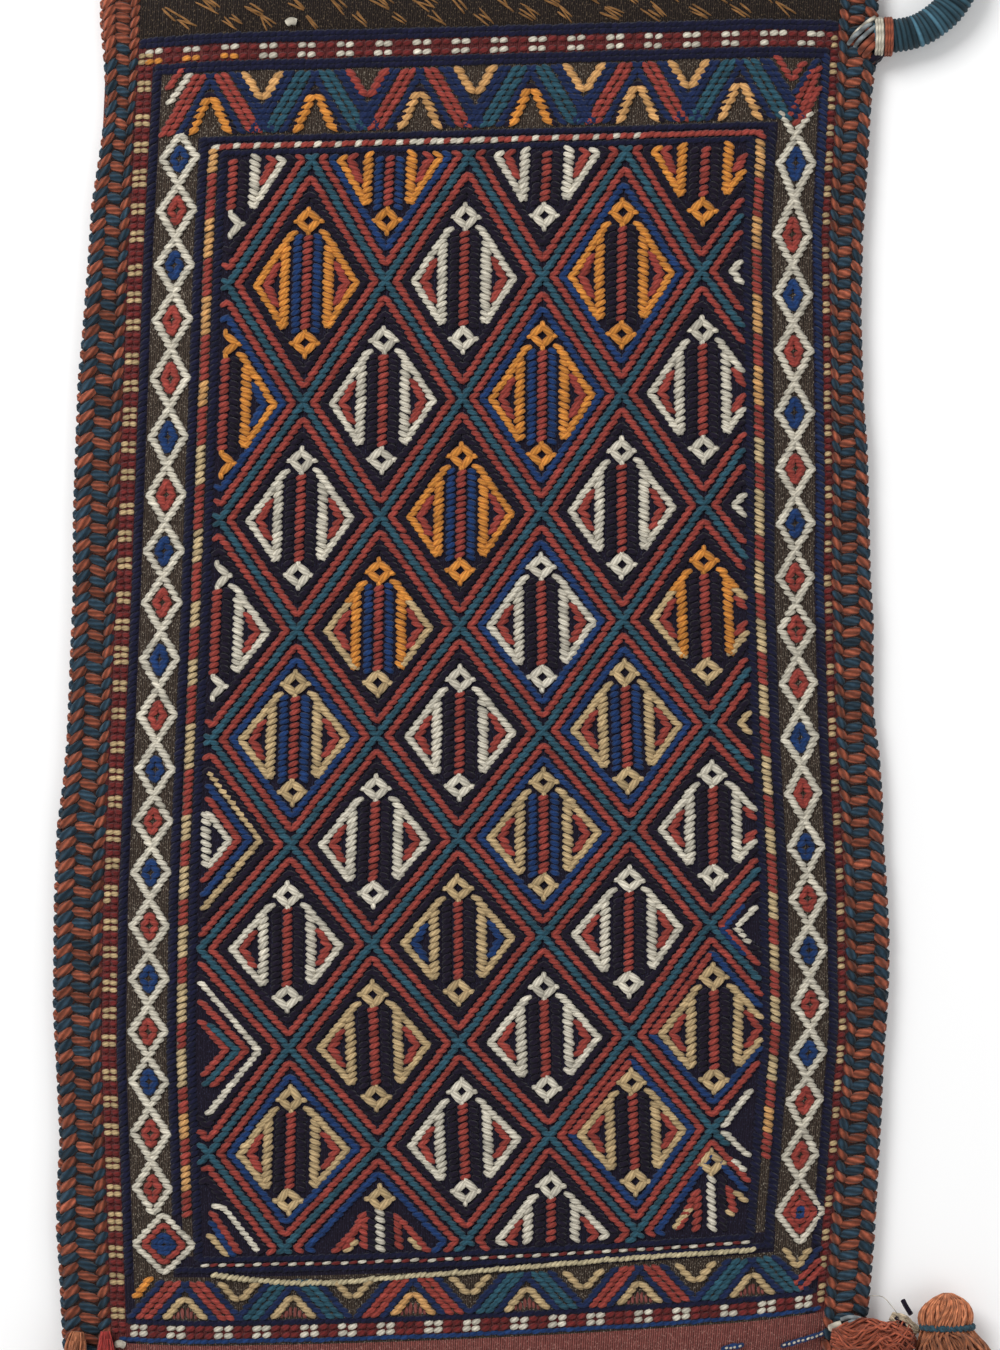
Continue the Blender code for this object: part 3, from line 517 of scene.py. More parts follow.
@dataclass
class Cloth:
    """The folded strip that the bag is made of: ribbed outside, open at the mouth."""

    thick: float = 2.4
    rib: float = 1.8
    relief: float = 0.42
    cover: float = 0.35
    mouth: float = 31.0
    foot: float = 555.6
    edge: float = 3.2
    navy_columns: tuple = ((22.4, 26.4), (43.2, 47.2), (51.2, 271.6), (275.6, 279.6), (295.6, 299.6))
    navy_rows: tuple = ((31, 33.8), (42, 45), (71.8, 79.8), (519.8, 528.2), (545.8, 547.4))
    check_rows: tuple = ((33.8, 42), (547.4, 553))
    bare_rows: tuple[float, float] = (46, 545)
    bare_columns: tuple[float, float] = (43, 280)
    fold: tuple = ((12.0, 0.95), (6.0, 0.76), (2.0, 0.46), (0.0, 0.0))
    front_rows: tuple = (0, 31, 33.8, 42, 45, 71.8, 79.8, 117.5, 220, 257.5, 320, 377.5, 437.5, 519.8, 528.2,
                         545.8, 547.4, 553, 555.6)
    back_rows: tuple = (437.5, 377.5, 257.5, 117.5, 0)

    def columns(self) -> np.ndarray:
        """The places across the cloth, four to a rib."""
        count = round(LAYOUT.width / self.rib) * 4
        return np.linspace(self.edge, LAYOUT.width - self.edge, count + 1)

    def rows(self) -> list[tuple[float, float, bool]]:
        """The rows from mouth round fold to mouth: b, share of the half height, whether in front."""
        front = [(b, 1.0, True) for b in self.front_rows]
        fold = [(LAYOUT.length - end, share, True) for end, share in self.fold]
        behind = [(LAYOUT.length - end, -share, False) for end, share in reversed(self.fold[:-1])]
        back = [(b, -1.0, False) for b in self.back_rows]
        return front + fold + behind + back

    def build(self) -> bpy.types.Object:
        """Builds the shell as one closed skin, from a grid wrapped round its outside and back inside."""
        columns, rows = self.columns(), self.rows()
        path = rows + rows[::-1] + rows[:1]
        inner = np.array([False] * len(rows) + [True] * len(rows) + [False])
        across = np.concatenate([[columns[0]], columns, [columns[-1]]])
        bpy.ops.object.select_all(action="DESELECT")
        bpy.ops.mesh.primitive_grid_add(x_subdivisions=len(across) - 1, y_subdivisions=len(path) - 1, size=1)
        piece = bpy.context.object
        piece.name = piece.data.name = "woven_cloth"
        a = np.tile(across, (len(path), 1))
        b = np.array([row[0] for row in path])[:, None] + 0 * a
        share = np.array([row[1] for row in path])[:, None]
        x, y = LAYOUT.plan(a, b)
        middle = (LAYOUT.front(a) + LAYOUT.back(a)) / 2
        half = (LAYOUT.front(a) - LAYOUT.back(a)) / 2
        wave = self.relief * (1 - np.cos(2 * math.pi * a / self.rib)) / 2 + self.cover
        lift = np.where(inner[:, None], -self.thick, wave * np.sign(np.where(share == 0, 1, half)))
        z = middle + (half + lift) * share
        y = y + np.where(inner[:, None], self.thick, -wave) * (1 - np.abs(share)) ** 0.5
        y[:, 0] = y[:, 1]
        edge = np.zeros(len(across), bool)
        edge[[0, -1]] = True
        core = middle + (half - self.thick / 2) * share
        z = np.where(edge[None, :], core, z)
        flat_y = LAYOUT.plan(a, b)[1] + self.thick / 2 * (1 - np.abs(share)) ** 0.5
        y = np.where(edge[None, :], flat_y, y)
        points = np.stack([x, y, z], axis=2).reshape(-1, 3) / 1000
        mesh = piece.data
        mesh.vertices.foreach_set("co", points.astype(np.float32).ravel())
        layer = mesh.uv_layers.active or mesh.uv_layers.new()
        layer.name = "strand"
        index = np.empty(len(mesh.loops), np.int32)
        mesh.loops.foreach_get("vertex_index", index)
        flat = np.stack([b.ravel(), a.ravel()], axis=1)
        layer.data.foreach_set("uv", flat[index].astype(np.float32).ravel())
        tone = mesh.attributes.new("tone", "FLOAT", "POINT")
        tone.data.foreach_set("value", np.ones(len(points), np.float32))
        self.paint(mesh, a, b, inner, path, len(across))
        bpy.ops.object.mode_set(mode="EDIT")
        bpy.ops.mesh.select_all(action="SELECT")
        bpy.ops.mesh.remove_doubles(threshold=0.000002)
        bpy.ops.mesh.normals_make_consistent(inside=False)
        bpy.ops.object.mode_set(mode="OBJECT")
        bpy.ops.object.shade_smooth()
        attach(piece, BODY)
        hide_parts("bag_cloth", "mouth_band", "panel_ground", "field_ground")
        LOG.info("woven_cloth: %d faces", len(mesh.polygons))
        return piece

    def paint(self, mesh: bpy.types.Mesh, a: np.ndarray, b: np.ndarray, inner: np.ndarray, path: list,
              wide: int) -> None:
        """Gives each face the ground colour of its zone."""
        finishes = (
            # The last number of each ground is its painted shade between the ribs.
            Wool("madder_ground", "#834A44", 0.5, 0.3, "#B98E82", 0.5, True, 0.7),
            Wool("mouth_ground", "#271E1A", 0.4, 0.4, "#776650", 0.5, True, 0.85),
            Wool("panel_brown", "#3E332B", 0.4, 0.4, "#9C9182", 0.65, True, 0.7),
            Wool("field_navy", "#171120", 0.25, 0.3, "#454A66", 0.35, True, 0.4),
            Wool("check_ground", "#552324", 0.25, 0.3, "#8A5A4C", 0.4, True, 0.4),
            # The cloth under the seams is dark: painted shade that shows between the strands.
            Wool("seam_ground_painted_shade", "#2A1915", 0.25, 0.3, "#5A3A30", 0.3, True, 0.4),
        )
        for finish in finishes:
            mesh.materials.append(finish.make())
        zone = np.zeros((len(path) - 1, wide - 1), np.int32)
        across = (a[0, :-1] + a[0, 1:]) / 2
        beside = (across < self.navy_columns[0][0]) | (across > self.navy_columns[-1][1])
        under = (across < LAYOUT.left_seam - 1) | (across > LAYOUT.width - LAYOUT.right_seam + 1)
        inside = (across > self.bare_columns[0]) & (across < self.bare_columns[1])
        outermost = (across < self.navy_columns[0][1] + 0.6) | (across > self.navy_columns[-1][0] - 0.6)
        lines = np.zeros(len(across), bool)
        for start, end in self.navy_columns:
            lines |= (across > start) & (across < end)
        for i, row in enumerate(path[:-1]):
            after = path[i + 1]
            if inner[i] or inner[i + 1] or not row[2] or not after[2]:
                continue
            down = (row[0] + after[0]) / 2
            if down < self.mouth:
                zone[i] = 1
            elif down < self.foot:
                zone[i] = 2
                zone[i][beside] = 4
                if LAYOUT.top_field < down < LAYOUT.low_field:
                    zone[i][lines] = 3
                zone[i][lines & outermost] = 3
                whole = down < self.bare_rows[0] or down > self.bare_rows[1]
                for start, end in self.navy_rows:
                    if start < down < end:
                        zone[i][~beside & (inside | whole)] = 3
                for start, end in self.check_rows:
                    if start < down < end:
                        zone[i] = 4
            # Under the seams the ground is painted shade.
            zone[i][under] = 5
        mesh.polygons.foreach_set("material_index", zone.ravel())


@dataclass
class Trellis:
    """The field: stepped cells between crossing ropes, each with its leaf pair, bar and two knobs."""

    first: float = 2.1
    pitch: float = 49.4
    closing: float = 0.58
    rows: int = 11
    cell_share: float = 0.3045
    starts: tuple[float, float] = (0.0115, 0.1637)
    gold_rows: int = 5
    special: tuple = ((6, 0), (8, 0), (7, 3), (9, 3), (10, 0), (10, 1), (10, 3))
    blue_rings: tuple = ((0, 1), (2, 0), (2, 2), (4, 2), (5, 0), (5, 2), (6, 2), (8, 3), (9, 0), (9, 2),
                         (10, 1), (10, 3), (1, 2))
    blue_bars: tuple = ((0, 1), (1, 0), (2, 2), (3, 1), (4, 1), (5, 0), (5, 2), (6, 2))
    blue_hearts: tuple = ((2, 0), (7, 1))
    doubled: tuple = ((9, 2), (8, 3))
    ivory_too: tuple = ((3, 3), (10, 2))
    camel_too: tuple = ((5, 3),)
    sag_rows: tuple = (0, 200, 270, 314, 357, 399, 440, 480, 518)
    sag_places: tuple = (-72, -4, 64, 96)
    sag_right: tuple = ((0, 0, 0, 0), (0, 0, 0, 0), (0, 0, 0, 0), (0, 0, 0, 0), (0, -1, 0, 0),
                        (-1.5, -1.2, -1.6, -3), (0, -0.8, -1.3, -1.3), (1, 2.2, 2.5, 0), (-3.3, 4, 6, 3))
    sag_up: tuple = ((0, 0, 0, 0), (-1, -1, -1, -1), (0, 0, 0, 0), (1.1, 1.2, 1, 0.9), (1.6, 2.2, 2.7, 2.7),
                     (2.4, 3.6, 4.4, 5), (2.9, 3, 3.1, 3.1), (0.8, 3.2, 4.5, 3.2), (0.8, 2, 2.2, 2.2))
    open_cell: tuple[int, int] = (9, 3)
    inset: float = 0.6
    steep: float = -28.0
    teal_under: Stitch = Stitch(lift=1.45)
    teal_over: Stitch = Stitch(lift=1.6)
    leaf: Stitch = Stitch(length=5.6, width=2.5, lift=1.35)
    leaf_side: Stitch = Stitch(2.4, 5.5, 2.5, 1.35)
    heart: Stitch = Stitch(2.5, 6.0, 2.5, 1.2)
    upright: Stitch = Stitch(2.4, 4.4)
    spine: Stitch = Stitch(2.5, 4.8, 2.4, 1.25, 24)

    def crossing(self, r: int) -> float:
        """The b of a row of cells."""
        if r < 0:
            return self.crossing(0) + r * (self.crossing(1) - self.crossing(0))
        if r >= self.rows:
            last = self.crossing(self.rows - 1)
            return last + (r - self.rows + 1) * (last - self.crossing(self.rows - 2))
        return LAYOUT.top_field + self.first + self.pitch * r - self.closing * r * r

    def cell(self, r: int, k: int) -> Callable[[Points], list[tuple[float, float]]]:
        """A function from places in a cell, in pixels from its middle, to x and y."""
        middle = self.crossing(r)
        above, below = middle - self.crossing(r - 1), self.crossing(r + 1) - middle
        wide = LAYOUT.right_field - LAYOUT.left_field
        mid = LAYOUT.left_field + wide * (self.starts[r % 2] + self.cell_share * k)

        def at(places: Points) -> list[tuple[float, float]]:
            """Puts places of the cell on the plan."""
            spread = np.asarray(places, float)
            b = middle + spread[:, 1] * np.where(spread[:, 1] > 0, below, above) / 115
            return list(zip(*self.settle(*LAYOUT.plan(mid + PIXEL * spread[:, 0], b), b)))

        return at

    def settle(self, x: np.ndarray, y: np.ndarray, b: np.ndarray) -> tuple[np.ndarray, np.ndarray]:
        """Moves places of the field as its lower rows lean and rise."""
        moves = []
        for table in (self.sag_right, self.sag_up):
            rows = [[np.interp(row, self.sag_rows, column) for column in zip(*table)] for row in b]
            moves.append(np.array([np.interp(place, self.sag_places, row) for place, row in zip(x, rows)]))
        return x + moves[0], y + moves[1]

    def colour(self, r: int, k: int) -> Yarn:
        """The colour of a cell's motif, which keeps to its diagonal."""
        if (r, k) in self.camel_too:
            return Yarn.CAMEL
        if (r, k) in self.ivory_too or (2 * k + r % 2 + r) // 2 % 2 == 0:
            return Yarn.IVORY
        return Yarn.GOLD if r < self.gold_rows else Yarn.CAMEL

    def weave(self, loom: Loom) -> None:
        """Lays and makes every rope of the field."""
        for r in range(-1, self.rows + 1):
            for k in range(-1, 5):
                self.ropes(loom, r, k)
                if (r, k) not in self.special:
                    self.motif(loom, r, k)
        self.edges(loom)
        box = (LAYOUT.left_field + self.inset, LAYOUT.top_field + self.inset,
               LAYOUT.right_field - self.inset, LAYOUT.low_field - self.inset)
        loom.within(box, list(loom.rows))
        loom.weave("trellis_teal_ropes", Yarn.TEAL, ["trellis_teal"])
        loom.weave("trellis_red_ropes", Yarn.RED, ["trellis_red"])
        loom.weave("navy_fill", Yarn.NAVY)
        loom.weave("blue_fill", Yarn.BLUE)
        loom.weave("red_fill", Yarn.RED)
        loom.weave("ivory_motifs", Yarn.IVORY, [f"motif_ivory_{i}" for i in range(1, 6)])
        loom.weave("gold_motifs", Yarn.GOLD, [f"motif_gold_{i}" for i in range(1, 4)])
        loom.weave("camel_motifs", Yarn.CAMEL, [f"motif_camel_{i}" for i in range(1, 4)])

    def ropes(self, loom: Loom, r: int, k: int) -> None:
        """Lays the teal, red and navy or blue ropes round a cell."""
        at = self.cell(r, k)
        opened, beside = (r, k) == self.open_cell, (r + 1, k) == self.open_cell
        loom.rope("trellis_teal_ropes", at([(-81, 0), (-67, 20) if opened else (0, 115)]), self.teal_under)
        loom.rope("trellis_teal_ropes", at([(0, 115), (14, 95) if beside else (81, 0)]), self.teal_over)
        ring = "blue_fill" if (r, k) in self.blue_rings else "navy_fill"
        for s in (1,) if opened else (-1, 1):
            for t in (-1, 1):
                loom.rope("trellis_red_ropes", at([(s * 70.5, 0), (0, t * 100)]))
                doubled = (r, k) in self.doubled and s < 0 and t < 0
                loom.rope("red_fill" if doubled else ring, at([(s * 60, 0), (0, t * 85)]))

    def motif(self, loom: Loom, r: int, k: int) -> None:
        """Lays a cell's leaf pair, bars, hearts and knobs."""
        at = self.cell(r, k)
        word = self.colour(r, k).name.lower()
        piece = outline = last = f"{word}_motifs"
        if r == self.gold_rows - 1 and word == "gold":
            outline = last = "camel_motifs"
        heart = "blue_fill" if (r, k) in self.blue_hearts else "red_fill"
        upright = "blue_fill" if (r, k) in self.blue_bars else "navy_fill"
        for s in (-1, 1):
            for name, start, end, stitch in (
                    (piece, (15, -49), (30, -28), self.leaf), (outline, (30, -28), (51, 1), self.leaf),
                    (outline, (51, 1), (23, 42), self.leaf),
                    (piece, (22.5, -34), (22.5, 43), replace(self.leaf_side, slant=-s * 34)),
                    (heart, (31, -19), (40, 1), self.heart), (heart, (40, 1), (31, 21), self.heart),
                    (upright, (10.5, -46), (10.5, 48), replace(self.upright, slant=-s * 26))):
                loom.rope(name, at([(s * start[0], start[1]), (s * end[0], end[1])]), stitch)
        self.knob(loom, piece, at([(0, -58)])[0])
        self.knob(loom, last, at([(0, 58)])[0])
        loom.rope("red_fill", at([(0, -45), (0, 45)]), self.spine)

    @staticmethod
    def knob(loom: Loom, piece: str, middle: tuple[float, float]) -> None:
        """Lays four fat floats round a small dark hole, and one at each tip."""
        for u in (-1, 1):
            for v in (-1, 1):
                loom.one(piece, middle[0] + u * 2.05, middle[1] + v * 1.95, -u * v * 43, 7.7, 3.4, 1.4, 2.4)
            loom.one(piece, middle[0] + u * 4.9, middle[1], 0, 3.6, 2.3, 1.1, 1.9)
            loom.one(piece, middle[0], middle[1] + u * 4.6, 90, 3.6, 2.3, 1.1, 1.9)

    def edges(self, loom: Loom) -> None:
        """Lays what fills the cells that the field's edge cuts off, where they differ from the rest."""
        nested = {
            "ivory_motifs": (
                ((206, 812), (206, 868)), ((208, 812), (229, 841)), ((229, 841), (208, 868)),
                ((200, 981), (259, 1051)), ((259, 1051), (208, 1115)), ((213, 1206), (227, 1210)),
                ((227, 1210), (259, 1252)), ((756, 907), (736, 927)), ((736, 927), (750, 944)),
                ((751, 1090), (723, 1127)), ((723, 1131), (749, 1157)), ((732, 1160), (745, 1171)),
                ((380, 1209), (380, 1259)), ((711, 1176), (712, 1232))),
            "red_fill": (
                ((208, 798), (238, 840)), ((238, 840), (203, 882)), ((200, 1001), (246, 1050)),
                ((246, 1050), (212, 1087)), ((200, 1021), (226, 1050)), ((226, 1050), (203, 1076)),
                ((212, 1212), (242, 1259)), ((366, 1218), (330, 1257)), ((364, 1212), (342, 1256)),
                ((364, 1222), (364, 1256)), ((397, 1214), (399, 1256)), ((401, 1220), (428, 1252)),
                ((697, 1190), (678, 1230)), ((698, 1196), (696, 1232)), ((728, 1186), (734, 1212))),
            "blue_fill": (
                ((208, 785), (249, 840)), ((249, 840), (203, 896)), ((211, 1222), (233, 1256)),
                ((745, 905), (722, 930)), ((722, 930), (745, 955))),
            "camel_motifs": (
                ((209, 771), (260, 840)), ((260, 840), (203, 910)), ((209, 1234), (227, 1256)),
                ((356, 1240), (346, 1252)), ((410, 1238), (420, 1250)), ((690, 1208), (676, 1228)),
                ((735, 1192), (752, 1206)), ((730, 1208), (730, 1218))),
            "trellis_teal_ropes": (((208, 1024), (237, 1051)), ((237, 1051), (204, 1086))),
            "navy_fill": (((390, 1212), (390, 1258)), ((371, 1212), (371, 1258)), ((722, 1176), (723, 1230))),
        }
        for piece, lines in nested.items():
            for start, end in lines:
                slant = self.steep if start[0] == end[0] else None
                loom.rope(piece, spots(start, end), Stitch(lift=1.3, slant=slant))
        for piece, place in (("camel_motifs", (380, 1199)), ("camel_motifs", (711, 1163))):
            self.knob(loom, piece, spot(*place))


@dataclass
class Frame:
    """The stripes round the field, the two zigzag bands and the diamonds up the sides."""

    left_lines: tuple = (24.4, 45.2, 53.2)
    right_lines: tuple = (20.4, 40.4, 48.2)
    left_peaks: tuple = (210, 315, 420, 531, 637.5, 740.5)
    low_peaks: tuple = (184.5, 293, 413, 527, 639.5, 752)
    left_cores: tuple = (158, 210, 265, 320, 378, 437, 495, 551, 603, 660, 716, 770, 822, 873, 927, 980, 1033,
                         1083, 1135, 1190)
    right_cores: tuple = (162, 233, 294, 350, 412, 468, 523, 577, 629, 683, 738, 794, 848, 900, 952, 1006,
                          1055, 1102, 1157)
    left_eyes: str = "BRBRRBRBRBRBRBRBRBRR"
    right_eyes: str = "BRBRBRBRRRBRBRBRBRR"
    left_dashes: tuple = ((144, 176), (218, 257), (295, 332), (379, 408), (445, 485), (530, 560), (598, 629),
                          (658, 685), (725, 771), (813, 843), (867, 897), (925, 957), (985, 1022),
                          (1052, 1090), (1112, 1140), (1165, 1192))
    right_dashes: tuple = ((137, 177), (218, 252), (295, 335), (364, 403), (438, 461), (492, 532), (564, 592),
                           (623, 650), (685, 717), (754, 795), (830, 856), (890, 917), (942, 970),
                           (997, 1024), (1056, 1083), (1106, 1133), (1170, 1186))
    blue_until: float = 230.0
    pieces: tuple = (
        ("navy_lines", Yarn.MIDNIGHT, "stripe_outer", "stripe_mouth", "stripe_inner", "stripe_field"),
        ("guard_red", Yarn.RED, "guard_stripe"), ("guard_light", Yarn.IVORY), ("guard_straw", Yarn.STRAW),
        ("guard_apricot", Yarn.APRICOT), ("goat_hair", Yarn.HAIR), ("top_gold", Yarn.GOLD),
        ("check_light", Yarn.IVORY, "check_stripe"), ("check_camel", Yarn.CAMEL),
        ("check_dark", Yarn.DARK_RED), ("zigzag_teal", Yarn.TEAL, "zigzag_top_teal", "zigzag_low_teal"),
        ("zigzag_red", Yarn.RED, "zigzag_top_red", "zigzag_low_red"), ("zigzag_blue", Yarn.INDIGO),
        ("zigzag_navy", Yarn.NAVY), ("top_chevrons", Yarn.APRICOT, "chevrons_top"),
        ("low_chevrons", Yarn.CAMEL, "chevrons_low"), ("cream_twining", Yarn.CREAM, "cream_cord"),
        ("low_madder", Yarn.MADDER), ("foot_blue", Yarn.BLUE, "foot_line"),
        ("side_ivory", Yarn.IVORY, "diamond_chain_left", "diamond_chain_right"),
        ("side_red", Yarn.RED, "lozenges_left", "lozenges_right"), ("side_blue", Yarn.BLUE),
    )
    side_line: Stitch = Stitch(2.3, 5.1, 2.3, 0.9, thick=1.8)
    end_line: Stitch = Stitch(2.4, 4.6, 2.6, 0.8, 16, thick=1.7)
    guard: Stitch = Stitch(2.6, 5.0)
    barber: Stitch = Stitch(2.7, 4.6, slant=16)
    fine_barber: Stitch = Stitch(3.5, 4.1, 1.4, slant=8)
    bead: Stitch = Stitch(2.75, 3.7, 2.3, 1.0)
    top_check: Stitch = Stitch(3.85, 3.9, 2.5, 1.0, 10)
    low_check: Stitch = Stitch(3.8, 4.2, lift=1.0, slant=20)
    foot_row: Stitch = Stitch(length=4.6, width=2.0, lift=0.8, slant=8)
    foot_dash: Stitch = Stitch(length=4.8, width=2.4, slant=20)
    foot_fleck: Stitch = Stitch(1.9, 1.7, 0.9, 2.0, 20)
    twining: Stitch = Stitch(2.1, 3.7, 2.0, 1.7, 24)
    peak: Stitch = Stitch(2.9, 6.0, 3.3, 1.5)
    dip: Stitch = Stitch(2.9, 5.6, 3.3, 1.5)
    low_peak: Stitch = Stitch(2.9, 5.2, 2.7, 1.5)
    raised: Stitch = Stitch(lift=1.3)
    diamond: Stitch = Stitch(length=4.6, lift=1.05)
    link: Stitch = Stitch(length=5.5, width=2.5)
    eye: Stitch = Stitch(2.4, 4.8, 2.7, 1.0)
    barber_run: tuple[float, float] = (8.0, 3.4)
    barber_until: float = 172.0
    fine_run: tuple[float, float] = (7.0, 3.5)
    bead_run: tuple[float, float] = (12.0, 5.8)
    top_run: tuple[float, float] = (15.4, 7.2)
    gold_until: float = 46.0
    end_run: tuple[float, float] = (15.6, 7.6)
    end_starts: tuple[float, float] = (252.0, 260.4)
    end_from: float = 250.0
    low_run: tuple[float, float] = (16.8, 7.6)

    def weave(self, loom: Loom) -> None:
        """Lays and makes all the frame's stitches."""
        self.lines(loom)
        self.guards(loom)
        self.checks(loom)
        self.top_zigzag(loom)
        self.low_zigzag(loom)
        self.chain(loom, "left", self.left_cores, 35.5, 6.9)
        self.chain(loom, "right", self.right_cores, LAYOUT.width - 30.2, 6.3)
        self.large(loom)
        self.hair(loom)
        for piece, yarn, *nodes in self.pieces:
            loom.weave(piece, yarn, nodes)

    def lines(self, loom: Loom) -> None:
        """Lays the navy lines down the sides and across both ends."""
        wide = LAYOUT.width
        for side, insets in ((1, self.left_lines), (-1, self.right_lines)):
            for i, inset in enumerate(insets):
                a = inset if side > 0 else wide - inset
                start, end = ((43.5, 528), (73.5, 503 if side > 0 else 526), (78, 521))[i]
                blue = self.blue_until if side < 0 and i == 0 else 0
                loom.rope(lambda at: (at < blue).astype(int), LAYOUT.course(a, start, end),
                          replace(self.side_line, slant=side * 34), ("navy_lines", "zigzag_blue"))
        for b, start, end in ((31.4, 17, wide - 16), (33.4, 17, wide - 16), (42.6, 24, wide - 20),
                              (44.6, 24, wide - 20), (72.9, 44, wide - 39),
                              (78.5, 53, wide - 48), (521.1, 53, wide - 48), (525.3, 44, wide - 39),
                              (546.6, 24, wide - 20)):
            loom.rope("navy_lines", LAYOUT.across(b, start, end), self.end_line)

    def guards(self, loom: Loom) -> None:
        """Lays the red guard stripe with its light dashes, and the two barber rows that join it."""
        wide = LAYOUT.width
        for side, a, dashes in ((1, 49.2, self.left_dashes), (-1, wide - 44.4, self.right_dashes)):
            line = LAYOUT.course(a, 76, 504 if side > 0 else 490)
            down = ORIGIN[1] - np.array(line)[:, 1] / PIXEL
            steps = np.hypot(*np.diff(np.array(line), axis=0).T)
            far = np.concatenate([[0], np.cumsum(steps)])

            def shade(at: np.ndarray) -> np.ndarray:
                """Picks red, straw or apricot from how far down a stitch lies."""
                place = np.interp(at, far, down)
                shades = np.zeros(len(at), int)
                for start, end in dashes:
                    shades[(place > start) & (place < end)] = 1 if 430 < start < 1100 else 2
                return shades

            loom.rope(shade, line, replace(self.guard, slant=side * 30),
                      ("guard_red", "guard_straw", "guard_apricot"))
        loom.rope(lambda at: (in_light(at, self.barber_run) & (at < self.barber_until)).astype(int),
                  LAYOUT.across(75.9, 49, wide - 44), self.barber, ("guard_red", "guard_light"))
        loom.rope(lambda at: in_light(at, self.fine_run).astype(int), LAYOUT.across(523.3, 54, wide - 48),
                  self.fine_barber, ("check_dark", "guard_light"))

    def checks(self, loom: Loom) -> None:
        """Lays the checked edge stripes: beads down the sides and in rows across both ends."""
        wide = LAYOUT.width
        for a, slant in ((17.9, 6), (20.9, -6), (wide - 16.8, 8)):
            loom.rope(lambda at: in_light(at, self.bead_run).astype(int), LAYOUT.course(a, 36, 552),
                      replace(self.bead, slant=slant), ("check_dark", "check_camel"))
        for under, b in enumerate((36.1, 39.8)):
            loom.rope(lambda at: np.where(
                np.where(at > self.end_from, in_light(at, self.end_run, self.end_starts[under]),
                         in_light(at, self.top_run)), 1 + under * (at < self.gold_until), 0),
                LAYOUT.across(b, 19, wide - 17), self.top_check, ("check_dark", "check_light", "top_gold"))
        for b in (548.8, 551.6):
            loom.rope(lambda at: in_light(at, self.low_run).astype(int), LAYOUT.across(b, 24, wide - 20),
                      self.low_check, ("check_dark", "check_light"))
        loom.rope("foot_blue", LAYOUT.across(553.8, 20, wide - 17), self.foot_row)
        for start, end in (((783, 1347), (826, 1338)), ((724, 1348), (742, 1346))):
            loom.rope("foot_blue", spots(start, end), self.foot_dash)
            loom.rope("check_light", spots(start, end), self.foot_fleck)
        loom.rope("cream_twining", spots((212, 1275), (250, 1280), (293, 1283), (330, 1283), (400, 1277),
                                         (470, 1272), (560, 1264), (660, 1256), (755, 1250)), self.twining)

    def leg(self, loom: Loom, piece: str, x: float, side: int, rows: tuple[float, float],
            spread: tuple[float, float], stitch: Stitch = Stitch()) -> None:
        """Lays one straight leg of a peak.

        Args:
            loom: The loom.
            piece: The piece.
            x: The peak's place, in millimetres.
            side: Which way it falls.
            rows: The b of its top and its bottom.
            spread: Its distance from the peak's middle there.
            stitch: The kind of float.
        """
        top = LAYOUT.plan(*self.on_row(x + side * spread[0], rows[0]))
        low = LAYOUT.plan(*self.on_row(x + side * spread[1], rows[1]))
        loom.rope(piece, [top, low], stitch)

    @staticmethod
    def on_row(x: float, b: float) -> tuple[float, float]:
        """The place on the cloth at x in the row b."""
        x = x - float(LAYOUT.push(x + LAYOUT.width / 2, b))
        left, right = LAYOUT.sides(np.array(b))
        start, end = left + LAYOUT.left_field, right - (LAYOUT.width - LAYOUT.right_field)
        share = (x - start) / (end - start)
        if share <= 0:
            return float(x - left), b
        if share >= 1:
            return float(LAYOUT.width - (right - x)), b
        return float(LAYOUT.left_field + share * (LAYOUT.right_field - LAYOUT.left_field)), b

    def top_zigzag(self, loom: Loom) -> None:
        """Lays the peaks under the mouth, with their light chevrons and blue edges."""
        peaks = ("top_gold", "top_gold", "top_chevrons", "top_gold", "top_chevrons", "top_chevrons")
        dips = ("top_chevrons", "zigzag_red", "top_chevrons", "top_chevrons", "top_chevrons")
        for i, place in enumerate(self.left_peaks):
            x = spot(place, 0)[0]
            leg = "zigzag_teal" if i % 2 else "zigzag_red"
            for side in (-1, 1):
                for piece, shift in (("zigzag_blue", -5.2), (leg, -1.7), (leg, 1.7), ("zigzag_blue", 5.2),
                                     ("zigzag_blue", 7.6)):
                    if i == 0 and side < 0 and shift > 5:
                        continue
                    self.leg(loom, piece, x, side, (46.4, 70.6), (3.8 + shift, 18.2 + shift))
                self.leg(loom, "zigzag_navy", x, side, (54.0, 70.6), (0.4, 9.6))
                self.leg(loom, peaks[i], x, side, (56.2, 70.4), (1.3, 7.6), self.peak)
            if i + 1 < len(self.left_peaks):
                between = (x + spot(self.left_peaks[i + 1], 0)[0]) / 2
                for side in (-1, 1):
                    self.leg(loom, dips[i], between, side, (46.6, 57.0), (7.4, 1.1), self.dip)
        for piece, start, end in (
                ("zigzag_red", (790, 116), (815, 66)), ("zigzag_red", (797, 124), (821, 64)),
                ("zigzag_red", (803, 118), (821, 84)), ("zigzag_blue", (796, 92), (819, 56)),
                ("zigzag_red", (777, 54), (792, 79)), ("zigzag_red", (792, 79), (805, 60)),
                ("guard_light", (190, 72), (168, 102)),
                ("zigzag_red", (182, 66), (166, 88))):
            loom.rope(piece, spots(start, end))

